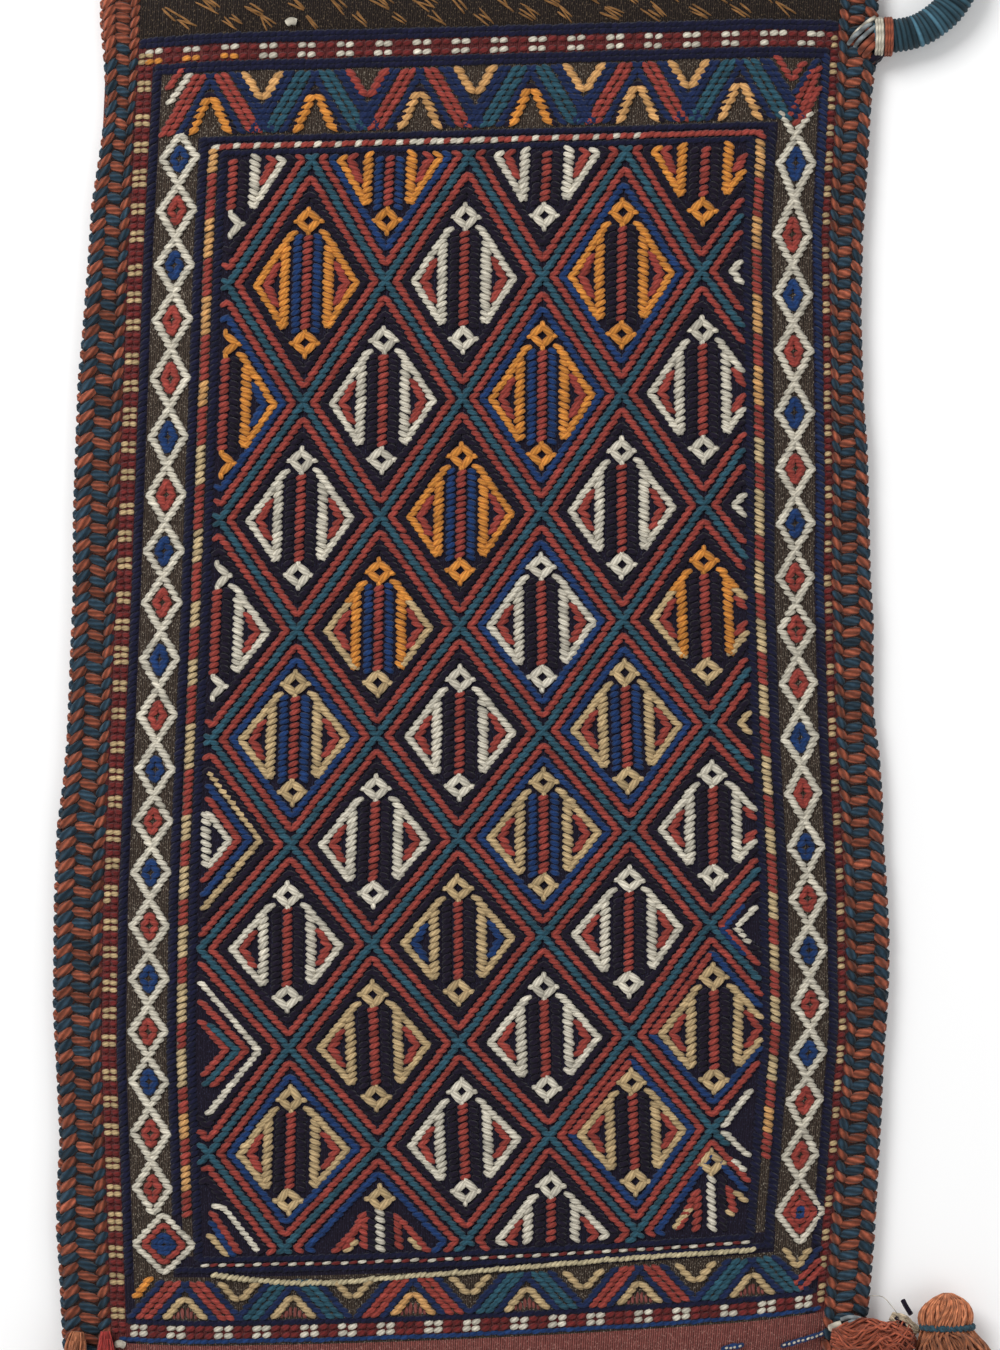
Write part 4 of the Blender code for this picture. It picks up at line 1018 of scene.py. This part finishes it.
    def low_zigzag(self, loom: Loom) -> None:
        """Lays the lower peaks over the foot."""
        for i, place in enumerate(self.low_peaks):
            x = spot(place, 0)[0]
            leg = "zigzag_teal" if i % 2 else "zigzag_red"
            for side in (-1, 1):
                for piece, shift in (("zigzag_blue", -5.2), (leg, -1.8), (leg, 1.8), ("zigzag_blue", 5.2)):
                    self.leg(loom, piece, x, side, (530.0, 545.4), (4.0 + shift, 17.4 + shift))
                for j in range(3):
                    place = LAYOUT.plan(*self.on_row(x + side * (0.9 + 1.8 * j), 542.6 + 0.8 * j))
                    loom.one("low_madder", float(place[0]), float(place[1]), 90, 6.2 - 1.6 * j, 1.7, 0.6, 1.3)
                chevron = "top_chevrons" if i == 2 else "low_chevrons"
                self.leg(loom, chevron, x, side, (536.6, 544.8), (1.0, 7.8), self.low_peak)
            if i + 1 < len(self.low_peaks):
                between = (x + spot(self.low_peaks[i + 1], 0)[0]) / 2
                for side in (-1, 1):
                    self.leg(loom, "low_chevrons", between, side, (530.4, 537.6), (7.2, 1.0), self.low_peak)
        for piece, start, end in (
                ("zigzag_red", (795, 1286), (822, 1262)), ("zigzag_red", (800, 1292), (824, 1270)),
                ("low_chevrons", (786, 1250), (798, 1269)), ("low_chevrons", (798, 1269), (811, 1251)),
                ("zigzag_blue", (803, 1273), (822, 1250)), ("top_gold", (134, 1300), (149, 1280))):
            loom.rope(piece, spots(start, end), self.raised)

    def large(self, loom: Loom) -> None:
        """Lays the large diamond at the foot of each side, and the arms over the right chain."""
        for x, y, wide, up, down, inner in ((163, 1246, 30, 31, 29, "side_blue"),
                                            (801, 1214, 23, 34, 31, "side_red")):
            for part, piece in ((1.0, "side_ivory"), (0.66, "side_red"), (0.36, inner), (0.2, "side_blue")):
                ring = spots((x, y - up * part), (x + wide * part, y), (x, y + down * part),
                             (x - wide * part, y), (x, y - up * part))
                for start, end in zip(ring, ring[1:]):
                    loom.rope(piece, [start, end], self.diamond)
        loom.rope("side_ivory", spots((795, 134), (780, 110)))
        loom.rope("side_ivory", spots((795, 134), (812, 110)))

    def hair(self, loom: Loom) -> None:
        """Lays the tufts of goat hair in the mouth band, in two staggered rows."""
        random = np.random.default_rng(21)
        for row, b in enumerate((20.0, 26.0)):
            for i in range(16):
                a = 27 + i * 17.5 + row * 8 + random.normal(0, 1.2)
                if a > LAYOUT.width - 24:
                    continue
                x, y = (float(value) for value in LAYOUT.plan(a, b + random.normal(0, 0.8)))
                for j in range(random.integers(2, 5)):
                    loom.one("goat_hair", x + 0.9 * j + random.normal(0, 0.5), y + 0.9 * j - 1,
                             -36 + random.normal(0, 9), 9.0 + random.normal(0, 1.8), 0.95, 1.0, 1.0)

    def chain(self, loom: Loom, side: str, cores: tuple, middle: float, half: float) -> None:
        """Lays the crossing ivory ropes up one side, with a red or blue core in each eye."""
        rows = [LAYOUT.unplan(*spot(140 if side == "left" else 800, core))[1] for core in cores]
        knots = [1.5 * rows[0] - 0.5 * rows[1]] + [(p + q) / 2 for p, q in zip(rows, rows[1:])]
        knots.append(1.5 * rows[-1] - 0.5 * rows[-2])
        ends = {"left": ((181, 132), (158, 1215)), "right": ((795, 134), (804, 1180))}[side]
        knots[0], knots[-1] = (float(LAYOUT.unplan(*spot(*end))[1]) for end in ends)
        for i, row in enumerate(rows):
            for s in (-1, 1):
                line = [LAYOUT.plan(middle, knots[i]), LAYOUT.plan(middle + s * half, row),
                        LAYOUT.plan(middle, knots[i + 1])]
                loom.rope("side_ivory", line[:2], self.link)
                loom.rope("side_ivory", line[1:], self.link)
            eyes = self.left_eyes if side == "left" else self.right_eyes
            piece = "side_red" if eyes[i] == "R" else "side_blue"
            tall = (knots[i + 1] - knots[i]) / 2
            tips = [(0, -0.5), (2.5, 0), (0, 0.5), (-2.5, 0), (0, -0.5)]
            ring = [LAYOUT.plan(middle + across, row + down * tall) for across, down in tips]
            for start, end in zip(ring, ring[1:]):
                loom.rope(piece, [start, end], self.eye)


@dataclass
class Binding:
    """The overcast seam of one side: fat strands in columns, from the front round the edge to the back."""

    name: str
    side: int
    deep: float
    pitch: float = 4.3
    high: float = 8.3
    low: float = 2.0
    bend: float = 3.7
    plain: float = 34.0
    seed: int = 11

    def carry(self, s: np.ndarray, b: np.ndarray, out: np.ndarray) -> np.ndarray:
        """Puts places of the seam into space.

        Args:
            s: The distance along the seam's profile, from its inner edge in front round to the back.
            b: The distance down from the mouth.
            out: The distance out of the profile.

        Returns:
            The points.
        """
        radius = (self.high - self.low) / 2
        straight = self.deep - self.bend
        turn = ((s - straight) / radius).clip(0, math.pi)
        over = (s - straight - math.pi * radius).clip(min=0)
        inset = self.deep - np.minimum(s, straight)
        inset = inset - (radius + out) * np.sin(turn) + over
        z = (self.high + self.low) / 2 + (radius + out) * np.cos(turn)
        a = inset if self.side < 0 else LAYOUT.width - inset
        x, y = LAYOUT.plan(a, b)
        return np.stack([x, y, z], axis=-1)

    def core(self, reach: float) -> tuple[np.ndarray, np.ndarray]:
        """The channel that the strands lie on, made dark in weave as painted shade between the strands: its
        points and its triangles.
        """
        s, b = np.meshgrid(np.linspace(0.6, reach - 0.6, 22), np.linspace(1, LAYOUT.length - 1, 60))
        skins = [self.carry(s, b, np.full(s.shape, out)) for out in (-0.7, -1.5)]
        points = np.vstack([skin.reshape(-1, 3) for skin in skins])
        high, wide = s.shape
        i, j = np.meshgrid(np.arange(high - 1), np.arange(wide - 1), indexing="ij")
        first = (i * wide + j).ravel()
        quads = np.stack([first, first + 1, first + wide + 1, first + wide], axis=1)
        rim = np.concatenate([np.arange(wide), np.arange(1, high) * wide + wide - 1,
                              (high - 1) * wide + np.arange(wide - 2, -1, -1),
                              np.arange(high - 2, 0, -1) * wide])
        after = np.roll(rim, -1)
        size = high * wide
        walls = np.stack([rim, rim + size, after + size, after], axis=1)
        quads = np.vstack([quads, quads[:, ::-1] + size, walls])
        if self.side > 0:
            quads = quads[:, ::-1]
        return points, np.vstack([quads[:, [0, 1, 2]], quads[:, [0, 2, 3]]])

    def weave(self, grain: Grain) -> None:
        """Makes the rust and the blue strands."""
        random = np.random.default_rng(self.seed)
        reach = self.deep - self.bend + math.pi * (self.high - self.low) / 2 + 7.0
        lean = -24 if self.side < 0 else -6
        columns = ((1.9, 6.4, 3.0, 54, 0), (6.8, 7.8, 4.2, lean, 0.5), (12.8, 9.0, 3.7, 40, 0),
                   (18.2, 7.6, 3.8, -30, 0), (22.6, 7.4, 4.2, 10, 0.5), (reach - 2.6, 6.8, 3.8, 34, 0))
        rows = []
        for s0, length, width, slant, phase in columns:
            count = int((LAYOUT.length - 3) / self.pitch)
            for i in range(count):
                b = 2 + (i + phase) * self.pitch
                rows.append((s0, b, math.radians(slant), length, width, i % 2 if b > self.plain else 0))
        table = np.array(rows)
        draw = random.normal
        count = len(table)
        table[:, 1] += draw(0, 0.22, count)
        table[:, 2] += draw(0, 0.07, count)
        table[:, 3] += draw(0, 0.3, count)
        table[:, 4] += draw(0, 0.22, count)
        tones = draw(1.0, 0.2, count).clip(0.6, 1.6)
        # Each strand is darker toward its ends: painted shade where it tucks under its neighbours.
        ends = 1.02 - 0.45 * np.abs(2 * grain.points[None, :, 0]) ** 3
        for kind, yarn in ((0, Yarn.RUST), (1, Yarn.INK)):
            pick = table[:, 5] == kind
            s0, b0, angle, length, width = (table[pick, i:i + 1] for i in range(5))
            along, side = grain.points[None, :, 0] * length, grain.points[None, :, 1] * width
            s = s0 + along * np.cos(angle) - side * np.sin(angle)
            b = b0 + along * np.sin(angle) + side * np.cos(angle)
            out = grain.points[None, :, 2] * 2.7 - 0.9 * (2 * np.abs(grain.points[None, :, 0])) ** 3
            points = self.carry(s, b.clip(0.5, LAYOUT.length - 0.5), out).reshape(-1, 3)
            size, strands = len(grain.points), int(pick.sum())
            corners = (grain.corners[None] + np.arange(strands)[:, None, None] * size).reshape(-1, 3)
            strand = np.stack([along + draw(0, 3, (strands, 1)), grain.around[None] * width], axis=2)
            strand = strand.reshape(-1, 2)
            tone = (tones[pick][:, None] * ends).ravel()
            word = "rust" if kind == 0 else "blue"
            if kind == 0:
                base, faces = self.core(reach)
                corners = np.vstack([corners, faces + len(points)])
                points = np.vstack([points, base])
                strand = np.vstack([strand, base[:, :2]])
                # The channel is darkened to 0.22: painted shade in the gaps between the strands.
                tone = np.concatenate([tone, np.full(len(base), 0.22)])
            made = make_piece(f"seam_{self.name}_{word}", points, corners, strand, tone,
                              yarn_finish(yarn, 0.8, True))
            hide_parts(f"binding_{self.name}_{word}")


def smooth_path(points: np.ndarray, count: int) -> np.ndarray:
    """Runs an even smooth line through points with Catmull-Rom curves."""
    ghost = np.vstack([2 * points[0] - points[1], points, 2 * points[-1] - points[-2]])
    dense = []
    for i in range(1, len(ghost) - 2):
        t = np.linspace(0, 1, 24, endpoint=False)[:, None]
        p0, p1, p2, p3 = ghost[i - 1:i + 3]
        dense.append(0.5 * (2 * p1 + (p2 - p0) * t + (2 * p0 - 5 * p1 + 4 * p2 - p3) * t ** 2
                            + (3 * p1 - p0 - 3 * p2 + p3) * t ** 3))
    dense = np.vstack(dense + [points[-1:]])
    far = np.concatenate([[0], np.cumsum(np.linalg.norm(np.diff(dense[:, :3], axis=0), axis=1))])
    at = np.linspace(0, far[-1], count)
    return np.stack([np.interp(at, far, dense[:, i]) for i in range(dense.shape[1])], axis=1)


def tube(path: np.ndarray, radii: np.ndarray, sides: int, pressed: float = 1.0, start: int = 0
         ) -> tuple[np.ndarray, np.ndarray, np.ndarray]:
    """Sweeps a ring along a line.

    Args:
        path: The line's points in millimetres.
        radii: The radius at each point, or one row of radii for each point.
        sides: The sides of the ring.
        pressed: The ring's height as a part of its width.
        start: The number of the first vertex.

    Returns:
        The points, the triangles, and each point's place along and around.
    """
    ahead = np.gradient(path, axis=0)
    ahead /= np.linalg.norm(ahead, axis=1)[:, None].clip(1e-9)
    across = np.cross(ahead, (0, 0, 1.0))
    weak = np.linalg.norm(across, axis=1) < 0.05
    across[weak] = (1, 0, 0)
    across /= np.linalg.norm(across, axis=1)[:, None]
    up = np.cross(across, ahead)
    turn = np.linspace(0, 2 * math.pi, sides, endpoint=False)
    radii = np.asarray(radii, float)
    radii = radii[:, None] if radii.ndim == 1 else radii
    ring = (across[:, None] * (np.cos(turn)[None] * radii)[..., None]
            + up[:, None] * (np.sin(turn)[None] * radii * pressed)[..., None])
    points = np.vstack([(path[:, None] + ring).reshape(-1, 3), path[:1], path[-1:]])
    i = np.arange(len(path) - 1)[:, None] * sides
    j, k = np.arange(sides)[None], (np.arange(sides)[None] + 1) % sides
    quads = np.stack([i + j, i + k, i + sides + k, i + sides + j], axis=2).reshape(-1, 4)
    tris = np.vstack([quads[:, [0, 1, 2]], quads[:, [0, 2, 3]]])
    first, last = len(path) * sides, len(path) * sides + 1
    base = (len(path) - 1) * sides
    j, k = np.arange(sides), (np.arange(sides) + 1) % sides
    tris = np.vstack([tris, np.stack([k, j, np.full(sides, first)], axis=1),
                      np.stack([base + j, base + k, np.full(sides, last)], axis=1)])
    far = np.concatenate([[0], np.cumsum(np.linalg.norm(np.diff(path, axis=0), axis=1))])
    strand = np.stack([np.repeat(far, sides), np.tile(turn / math.pi, len(path))], axis=1)
    strand = np.vstack([strand, [[0, 0]], [[far[-1], 0]]])
    return points, tris + start, strand


class Bundle:
    """Tubes that are gathered into one piece."""

    def __init__(self) -> None:
        """Starts without a tube."""
        self.points, self.corners, self.strands, self.size = [], [], [], 0

    def add(self, path: np.ndarray, radii: np.ndarray, sides: int, pressed: float = 1.0) -> int:
        """Adds a tube along a line and gives its number of vertices."""
        points, corners, strand = tube(path, radii, sides, pressed, self.size)
        self.points.append(points)
        self.corners.append(corners)
        self.strands.append(strand)
        self.size += len(points)
        return len(points)

    def make(self, name: str, yarn: Yarn, finish: Wool, tone: np.ndarray | None = None) -> bpy.types.Object:
        """Makes the piece of all its tubes."""
        points = np.vstack(self.points)
        return make_piece(name, points, np.vstack(self.corners), np.vstack(self.strands),
                          np.ones(len(points)) if tone is None else tone, finish)


def corner(a: float, b: float) -> np.ndarray:
    """The x and y of a corner of the bag."""
    left, right = LAYOUT.sides(np.array(float(b)))
    return np.array([float(right if a else left), float(LAYOUT.plan(a, b)[1])])


@dataclass
class Lock:
    """A lock of wool: many thin strands that follow one line and swell with it."""

    name: str
    yarn: Yarn
    at: tuple[float, float]
    line: tuple
    radius: float
    strands: int
    pressed: float = 1.0
    thin: float = 0.5
    seed: int = 3
    replaces: tuple[str, ...] = ()
    loose: float = 1.0
    # Lightness along the lock: painted highlight and painted shade, such as the lit top of the large tassel's
    # head and its shade under the tie.
    painted_light: tuple = ((0, 1), (1, 1))
    lowest: float = 0.3

    def weave(self) -> None:
        """Makes the lock: a soft core, darkened as painted shade inside it, and its strands."""
        random = np.random.default_rng(self.seed)
        line = np.array(self.line, float)
        line[:, :2] += corner(*self.at)
        path = smooth_path(line, 30)
        swell = path[:, 3] * self.radius
        bundle = Bundle()
        # The core is darker than its strands: painted shade inside the lock.
        tones = [np.full(bundle.add(path[:, :3], swell * 0.82, 16, self.pressed), 0.72)]
        ahead = np.gradient(path[:, :3], axis=0)
        ahead /= np.linalg.norm(ahead, axis=1)[:, None]
        across = np.cross(ahead, (0, 0, 1.0))
        across /= np.linalg.norm(across, axis=1)[:, None].clip(1e-6)
        up = np.cross(across, ahead)
        t = np.linspace(0, 1, len(path))
        for _ in range(self.strands):
            angle = random.uniform(0, 2 * math.pi)
            depth = random.uniform(0.72, 1.0 + 0.05 * self.loose)
            wander = (angle + random.normal(0, 0.35 * self.loose) * t
                      + 0.12 * self.loose * np.sin(t * random.uniform(6, 16) + angle))
            reach = swell * depth * (1 + 0.06 * self.loose * np.sin(t * random.uniform(5, 14) + angle * 3))
            run = (path[:, :3] + across * (np.cos(wander) * reach)[:, None]
                   + up * (np.sin(wander) * reach * self.pressed)[:, None])
            cut = max(8, int(len(run) * random.uniform(0.86, 1.0)))
            begin = random.integers(0, 3)
            run = run[begin:cut]
            taper = np.sin(np.linspace(0.25, math.pi - 0.25, len(run))) ** 0.4
            girth = self.thin * random.uniform(0.7, 1.4) * taper
            bundle.add(run, girth, 4)
            # Painted highlight and shade along the lock.
            painted_light = np.interp(np.linspace(begin, cut, len(run)) / len(path), *np.array(self.painted_light).T)
            tones.append(np.append(np.repeat(painted_light, 4), [1, 1]) * max(0.5, random.normal(1.0, 0.2)))
        for points in bundle.points:
            points[:, 2] = points[:, 2].clip(self.lowest)
        made = bundle.make(self.name, self.yarn, yarn_finish(self.yarn, 0.3), np.concatenate(tones))
        if self.replaces:
            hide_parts(*self.replaces)


@dataclass
class HangingLoop:
    """The wrapped cord at the top right corner, with its two lashings."""

    radius: float = 6.7
    diameter: float = 13.4
    turn: float = 1.9
    route: tuple = ((-0.8, -36.9), (9, -36.1), (17, -34.3), (24, -30.3), (30, -24.8), (34.5, -17.3),
                    (36, -8.3), (34, 1.2), (28, 9.2), (19, 14.3), (9, 15.7), (-0.4, 13.3), (-6, 7.7),
                    (-7.5, 1.1))
    height: float = 8.6

    def weave(self) -> None:
        """Makes the cord and its lashings."""
        base = corner(LAYOUT.width, 0)
        route = np.array([(base[0] + x, base[1] + y, self.height) for x, y in self.route])
        path = smooth_path(route, 520)
        far = np.concatenate([[0], np.cumsum(np.linalg.norm(np.diff(path, axis=0), axis=1))])
        turns = np.linspace(0, 2 * math.pi, 20, endpoint=False)
        phase = far[:, None] / self.turn + turns[None] / (2 * math.pi)
        radii = self.radius + 0.15 - 0.6 * np.abs(np.cos(math.pi * phase)) ** 3
        radii[0] *= 0.7
        radii[-1] *= 0.7
        points, corners, strand = tube(path, radii, 20)
        random = np.random.default_rng(5)
        shades = random.choice([0.55, 0.85, 1.1, 1.4, 2.2], size=90, p=[0.2, 0.26, 0.26, 0.18, 0.1])
        # Each wrap's lightness is picked at random, and each wrap is darker toward its edges: painted shade in
        # the grooves between wraps.
        tone = shades[np.floor(phase).astype(int) % 90] * (1.05 - 0.75 * np.abs(np.cos(math.pi * phase)) ** 5)
        tone = np.append(tone.ravel(), [1.0, 1.0])
        cord = make_piece("wrapped_loop", points, corners, strand, tone, yarn_finish(Yarn.SLATE, 0.6))
        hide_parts("hanging_loop")
        self.stitches(base)
        rings = [self.lashing("loop_tie_ivory", (1.4, -36.8), Yarn.IVORY, "loop_lashing_1", base),
                 self.lashing("loop_tie_rust", (5.2, -36.6), Yarn.RUST, "loop_lashing_2", base)]

    @staticmethod
    def stitches(base: np.ndarray) -> None:
        """Makes the yarns that tie the cord to the corner: pale, rust and navy."""
        packs = (("corner_stitches_pale", Yarn.MIST, 0.9, ((-10.3, -39, 4.4), (-7.9, -40.2, 4.6))),
                 ("corner_stitches_ivory", Yarn.IVORY, 0.8, ((-9.2, -36.9, 4.4),)),
                 ("corner_stitches_rust", Yarn.RUST, 1.25, ((-6.2, -42.6, 5.2), (-4.0, -43.8, 4.8))),
                 ("corner_knot", Yarn.NAVY, 1.6, ((-2.2, -46.8, 2.6), (0.2, -45.6, 2.2), (1.8, -44.2, 1.8))))
        for name, yarn, radius, starts in packs:
            bundle = Bundle()
            for x, y, reach in starts:
                line = np.array([(x - 0.3, y - 0.6, 7.5), (x + 0.2 * reach, y + 0.24 * reach, 10.9),
                                 (x + 0.8 * reach, y + 0.8 * reach, 13.2),
                                 (x + 1.5 * reach, y + 1.35 * reach, 14.2),
                                 (x + 2.0 * reach, y + 1.7 * reach, 12.2)])
                if yarn is Yarn.NAVY:
                    line[:, 2] -= 4.6
                line[:, :2] += base
                bundle.add(smooth_path(line, 16), np.full(16, radius), 8)
            bundle.make(name, yarn, yarn_finish(yarn, 0.8, True))

    def lashing(self, name: str, at: tuple[float, float], yarn: Yarn, node: str, base: np.ndarray
                ) -> bpy.types.Object:
        """Makes one lashing of three yarn turns round the cord."""
        bundle = Bundle()
        for shift in (-1.1, 0, 1.1):
            angle = np.linspace(0, 2 * math.pi, 33)
            ring = np.stack([np.full(33, base[0] + at[0] + shift), base[1] + at[1] + 7.4 * np.cos(angle),
                             self.height + 7.4 * np.sin(angle)], axis=1)
            bundle.add(ring, np.full(33, 0.65), 6)
        piece = bundle.make(name, yarn, yarn_finish(yarn, 0.6))
        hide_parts(node)
        return piece


@dataclass
class Tassels:
    """The wool at the two lower corners."""

    def weave(self) -> None:
        """Makes each lock and the tie."""
        wide, long = LAYOUT.width, LAYOUT.length
        right = ((35.8, 25.2, 10.9, 0.2), (35.8, 23.8, 10.9, 0.5), (35.8, 21, 10.9, 0.82),
                 (35.8, 17.4, 10.9, 1), (35.8, 14, 10.9, 0.98), (35.9, 12.1, 10.9, 0.87),
                 (36, 10, 10.9, 0.92), (36.3, 6.6, 11.5, 1.06), (36.8, 2.6, 13.5, 1.25),
                 (37.6, -3, 14.9, 1.36), (38, -12, 14.6, 1.32), (38.3, -22, 12.2, 1.1), (38.4, -29, 8.8, 0.7))
        # Its lightness table paints a highlight on the head's top and shade at the waist under the tie.
        Lock("large_tassel", Yarn.SALMON, (wide, long), right, 10.4, 230, 0.66, 0.55, 7, ("tassel_right",),
             1.6, ((0, 1.4), (0.16, 1.25), (0.3, 0.95), (0.4, 0.7), (0.5, 1), (1, 0.9))).weave()
        self.tie((wide, long))
        self.bits()
        tuft = ((-11, 9, 15.2, 0.4), (-6, 8.4, 16, 0.8), (2, 8, 16.1, 1), (11, 6.8, 13.6, 0.9),
                (18, 6, 10.4, 1), (23, 5.4, 8.6, 0.5))
        Lock("corner_tuft", Yarn.ROSE, (wide, long), tuft, 6.0, 130, 1, 0.5, 8, ("tassel_right_tuft",),
             4.0, ((0, 1.2), (0.3, 0.9), (0.6, 1.15), (1, 0.8))).weave()
        scrap = ((13.5, 15.6, 6.9, 0.6), (17.5, 13.4, 7.4, 1), (21.5, 11, 7.6, 0.8), (25, 9.6, 7.2, 0.4))
        Lock("felt_scrap", Yarn.FELT, (wide, long), scrap, 3.0, 40, 1, 0.4, 9,
             ("tassel_right_scrap",)).weave()
        left = ((2.5, 24.5, 14.2, 0.5), (2, 18.5, 14.6, 0.9), (1.5, 7.5, 14.7, 1), (0.5, -2, 14.2, 1),
                (-0.5, -8.5, 9.6, 0.9), (-1, -15.5, 5.6, 0.7), (-1.5, -22.5, 4, 0.4))
        Lock("left_lock", Yarn.SALMON, (0, long), left, 4.6, 60, 1, 0.45, 10, ("tassel_left",)).weave()
        short = ((13.5, 24.5, 13, 0.5), (14, 15.5, 13.7, 1), (14.5, 5.5, 13.7, 1), (14.8, -2.5, 13.6, 1),
                 (15, -8.5, 9, 0.9), (15, -15.5, 4.6, 0.6))
        Lock("left_short_lock", Yarn.CRIMSON, (0, long), short, 3.6, 46, 1, 0.45, 12,
             ("tassel_left_short",)).weave()

    @staticmethod
    def bits() -> None:
        """Makes the small yarn ends between the seam and the tassels."""
        ends = (
            ("seam_end_wraps", Yarn.MIST, 0.9, (
                ((843, 1323, 11), (852, 1320, 12.6), (862, 1322, 12), (869, 1327, 10)),
                ((846, 1328, 11.5), (856, 1324, 13), (867, 1329, 11)))),
            ("seam_end_ivory", Yarn.IVORY, 1.5, (((832, 1332, 10.5), (837, 1329, 12), (843, 1327, 12)),
                                                 ((115, 1348, 10.5), (118, 1347, 11.8), (122, 1349, 11)),
                                                 ((287, 23, 19.6), (291, 21, 20.3), (296, 22, 19.8)))),
            ("navy_end", Yarn.NAVY, 1.0, (((906, 1305, 7), (909, 1311, 8.4), (914, 1319, 8)),
                                          ((898, 1322, 9), (903, 1326, 10), (908, 1331, 10)))),
            ("white_thread", Yarn.IVORY, 0.16, (
                ((869, 1302, 5), (876, 1301, 6), (886, 1302, 6.6), (894, 1310, 8), (900, 1318, 9)),)),
        )
        for name, yarn, radius, lines in ends:
            bundle = Bundle()
            for line in lines:
                run = smooth_path(np.array([(*spot(x, y), z) for x, y, z in line]), 18)
                bundle.add(run, np.full(18, radius), 8)
            bundle.make(name, yarn, yarn_finish(yarn, 0.6))

    def tie(self, at: tuple[float, float]) -> None:
        """Makes the two twisted yarns round the large tassel's waist."""
        base = corner(*at)
        bundle = Bundle()
        angle = np.linspace(0, 2 * math.pi, 65)
        for twist in (0, math.pi):
            swing = angle * 13 + twist
            reach = 10.2 + 0.55 * np.cos(swing)
            ring = np.stack([base[0] + 35.9 + reach * np.cos(angle), base[1] + 12.1 + 0.75 * np.sin(swing),
                             10.9 + reach * 0.68 * np.sin(angle)], axis=1)
            bundle.add(ring, np.full(65, 0.85), 6)
        piece = bundle.make("tassel_tie", Yarn.SLATE, yarn_finish(Yarn.SLATE, 0.6))
        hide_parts("tassel_right_tie")


@dataclass
class Studio:
    """The camera, the floor and the plain soft light."""

    high: float = 1.67
    middle: tuple[float, float] = (0.012, -0.0024)

    def build(self) -> None:
        """Sets everything that isn't part of the bag."""
        bpy.ops.object.select_all(action="DESELECT")
        bpy.ops.mesh.primitive_plane_add(size=6, location=(0, 0, -0.0009))
        floor = bpy.context.object
        floor.name = "pale_floor"
        paper = bpy.data.materials.new("pale_paper")
        paper.use_nodes = True
        shader = paper.node_tree.nodes["Principled BSDF"]
        shader.inputs["Base Color"].default_value = (0.97, 0.97, 0.97, 1)
        shader.inputs["Roughness"].default_value = 0.9
        floor.data.materials.append(paper)
        camera = bpy.data.cameras.new("view")
        camera.lens = 110
        camera.sensor_width = 36
        holder = bpy.data.objects.new("view", camera)
        holder.location = (*self.middle, self.high)
        bpy.context.collection.objects.link(holder)
        bpy.context.scene.camera = holder
        for name, place, size, power in (("key", (-0.9, 1.0, 1.5), 0.9, 26.0),
                                         ("fill", (1.2, -0.6, 1.6), 1.6, 7.0)):
            light = bpy.data.lights.new(name, "AREA")
            light.size = size
            light.energy = power
            lamp = bpy.data.objects.new(name, light)
            lamp.location = place
            aim = -np.array(place)
            lamp.rotation_euler = (math.atan2(math.hypot(aim[0], aim[1]), -aim[2]), 0,
                                   math.atan2(aim[0], -aim[1]) + math.pi)
            bpy.context.collection.objects.link(lamp)
        self.world()
        bpy.context.scene.view_settings.view_transform = "Standard"

    def world(self) -> None:
        """Lights softly from all round and shows white behind."""
        world = bpy.data.worlds.new("white")
        bpy.context.scene.world = world
        world.use_nodes = True
        tree = world.node_tree
        tree.nodes.clear()
        path = add_node(tree, "ShaderNodeLightPath")
        seen = add_node(tree, "ShaderNodeMath", {0: path.outputs["Is Camera Ray"],
                                                 1: path.outputs["Is Glossy Ray"]}, operation="MAXIMUM")
        seen = add_node(tree, "ShaderNodeMath", {0: seen.outputs[0], 1: path.outputs["Is Transmission Ray"]},
                        operation="MAXIMUM")
        soft = add_node(tree, "ShaderNodeBackground", {"Color": (1, 1, 1, 1), "Strength": 0.55})
        white = add_node(tree, "ShaderNodeBackground", {"Color": (1, 1, 1, 1), "Strength": 1.0})
        mix = add_node(tree, "ShaderNodeMixShader", {0: seen.outputs[0]})
        tree.links.new(soft.outputs[0], mix.inputs[1])
        tree.links.new(white.outputs[0], mix.inputs[2])
        out = add_node(tree, "ShaderNodeOutputWorld")
        tree.links.new(mix.outputs[0], out.inputs["Surface"])


def main() -> None:
    """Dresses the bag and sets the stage."""
    logging.basicConfig(level=logging.INFO, format="%(message)s")
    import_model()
    small, fat = Grain.model(5, 5), Grain.model(6, 7, 0.5)
    Cloth().build()
    Trellis().weave(Loom(small, 1))
    Frame().weave(Loom(small, 2))
    Binding("left", -1, LAYOUT.left_seam, seed=11).weave(fat)
    Binding("right", 1, LAYOUT.right_seam, plain=22.0, seed=12).weave(fat)
    HangingLoop().weave()
    Tassels().weave()
    Studio().build()


if __name__ == "__main__":
    main()
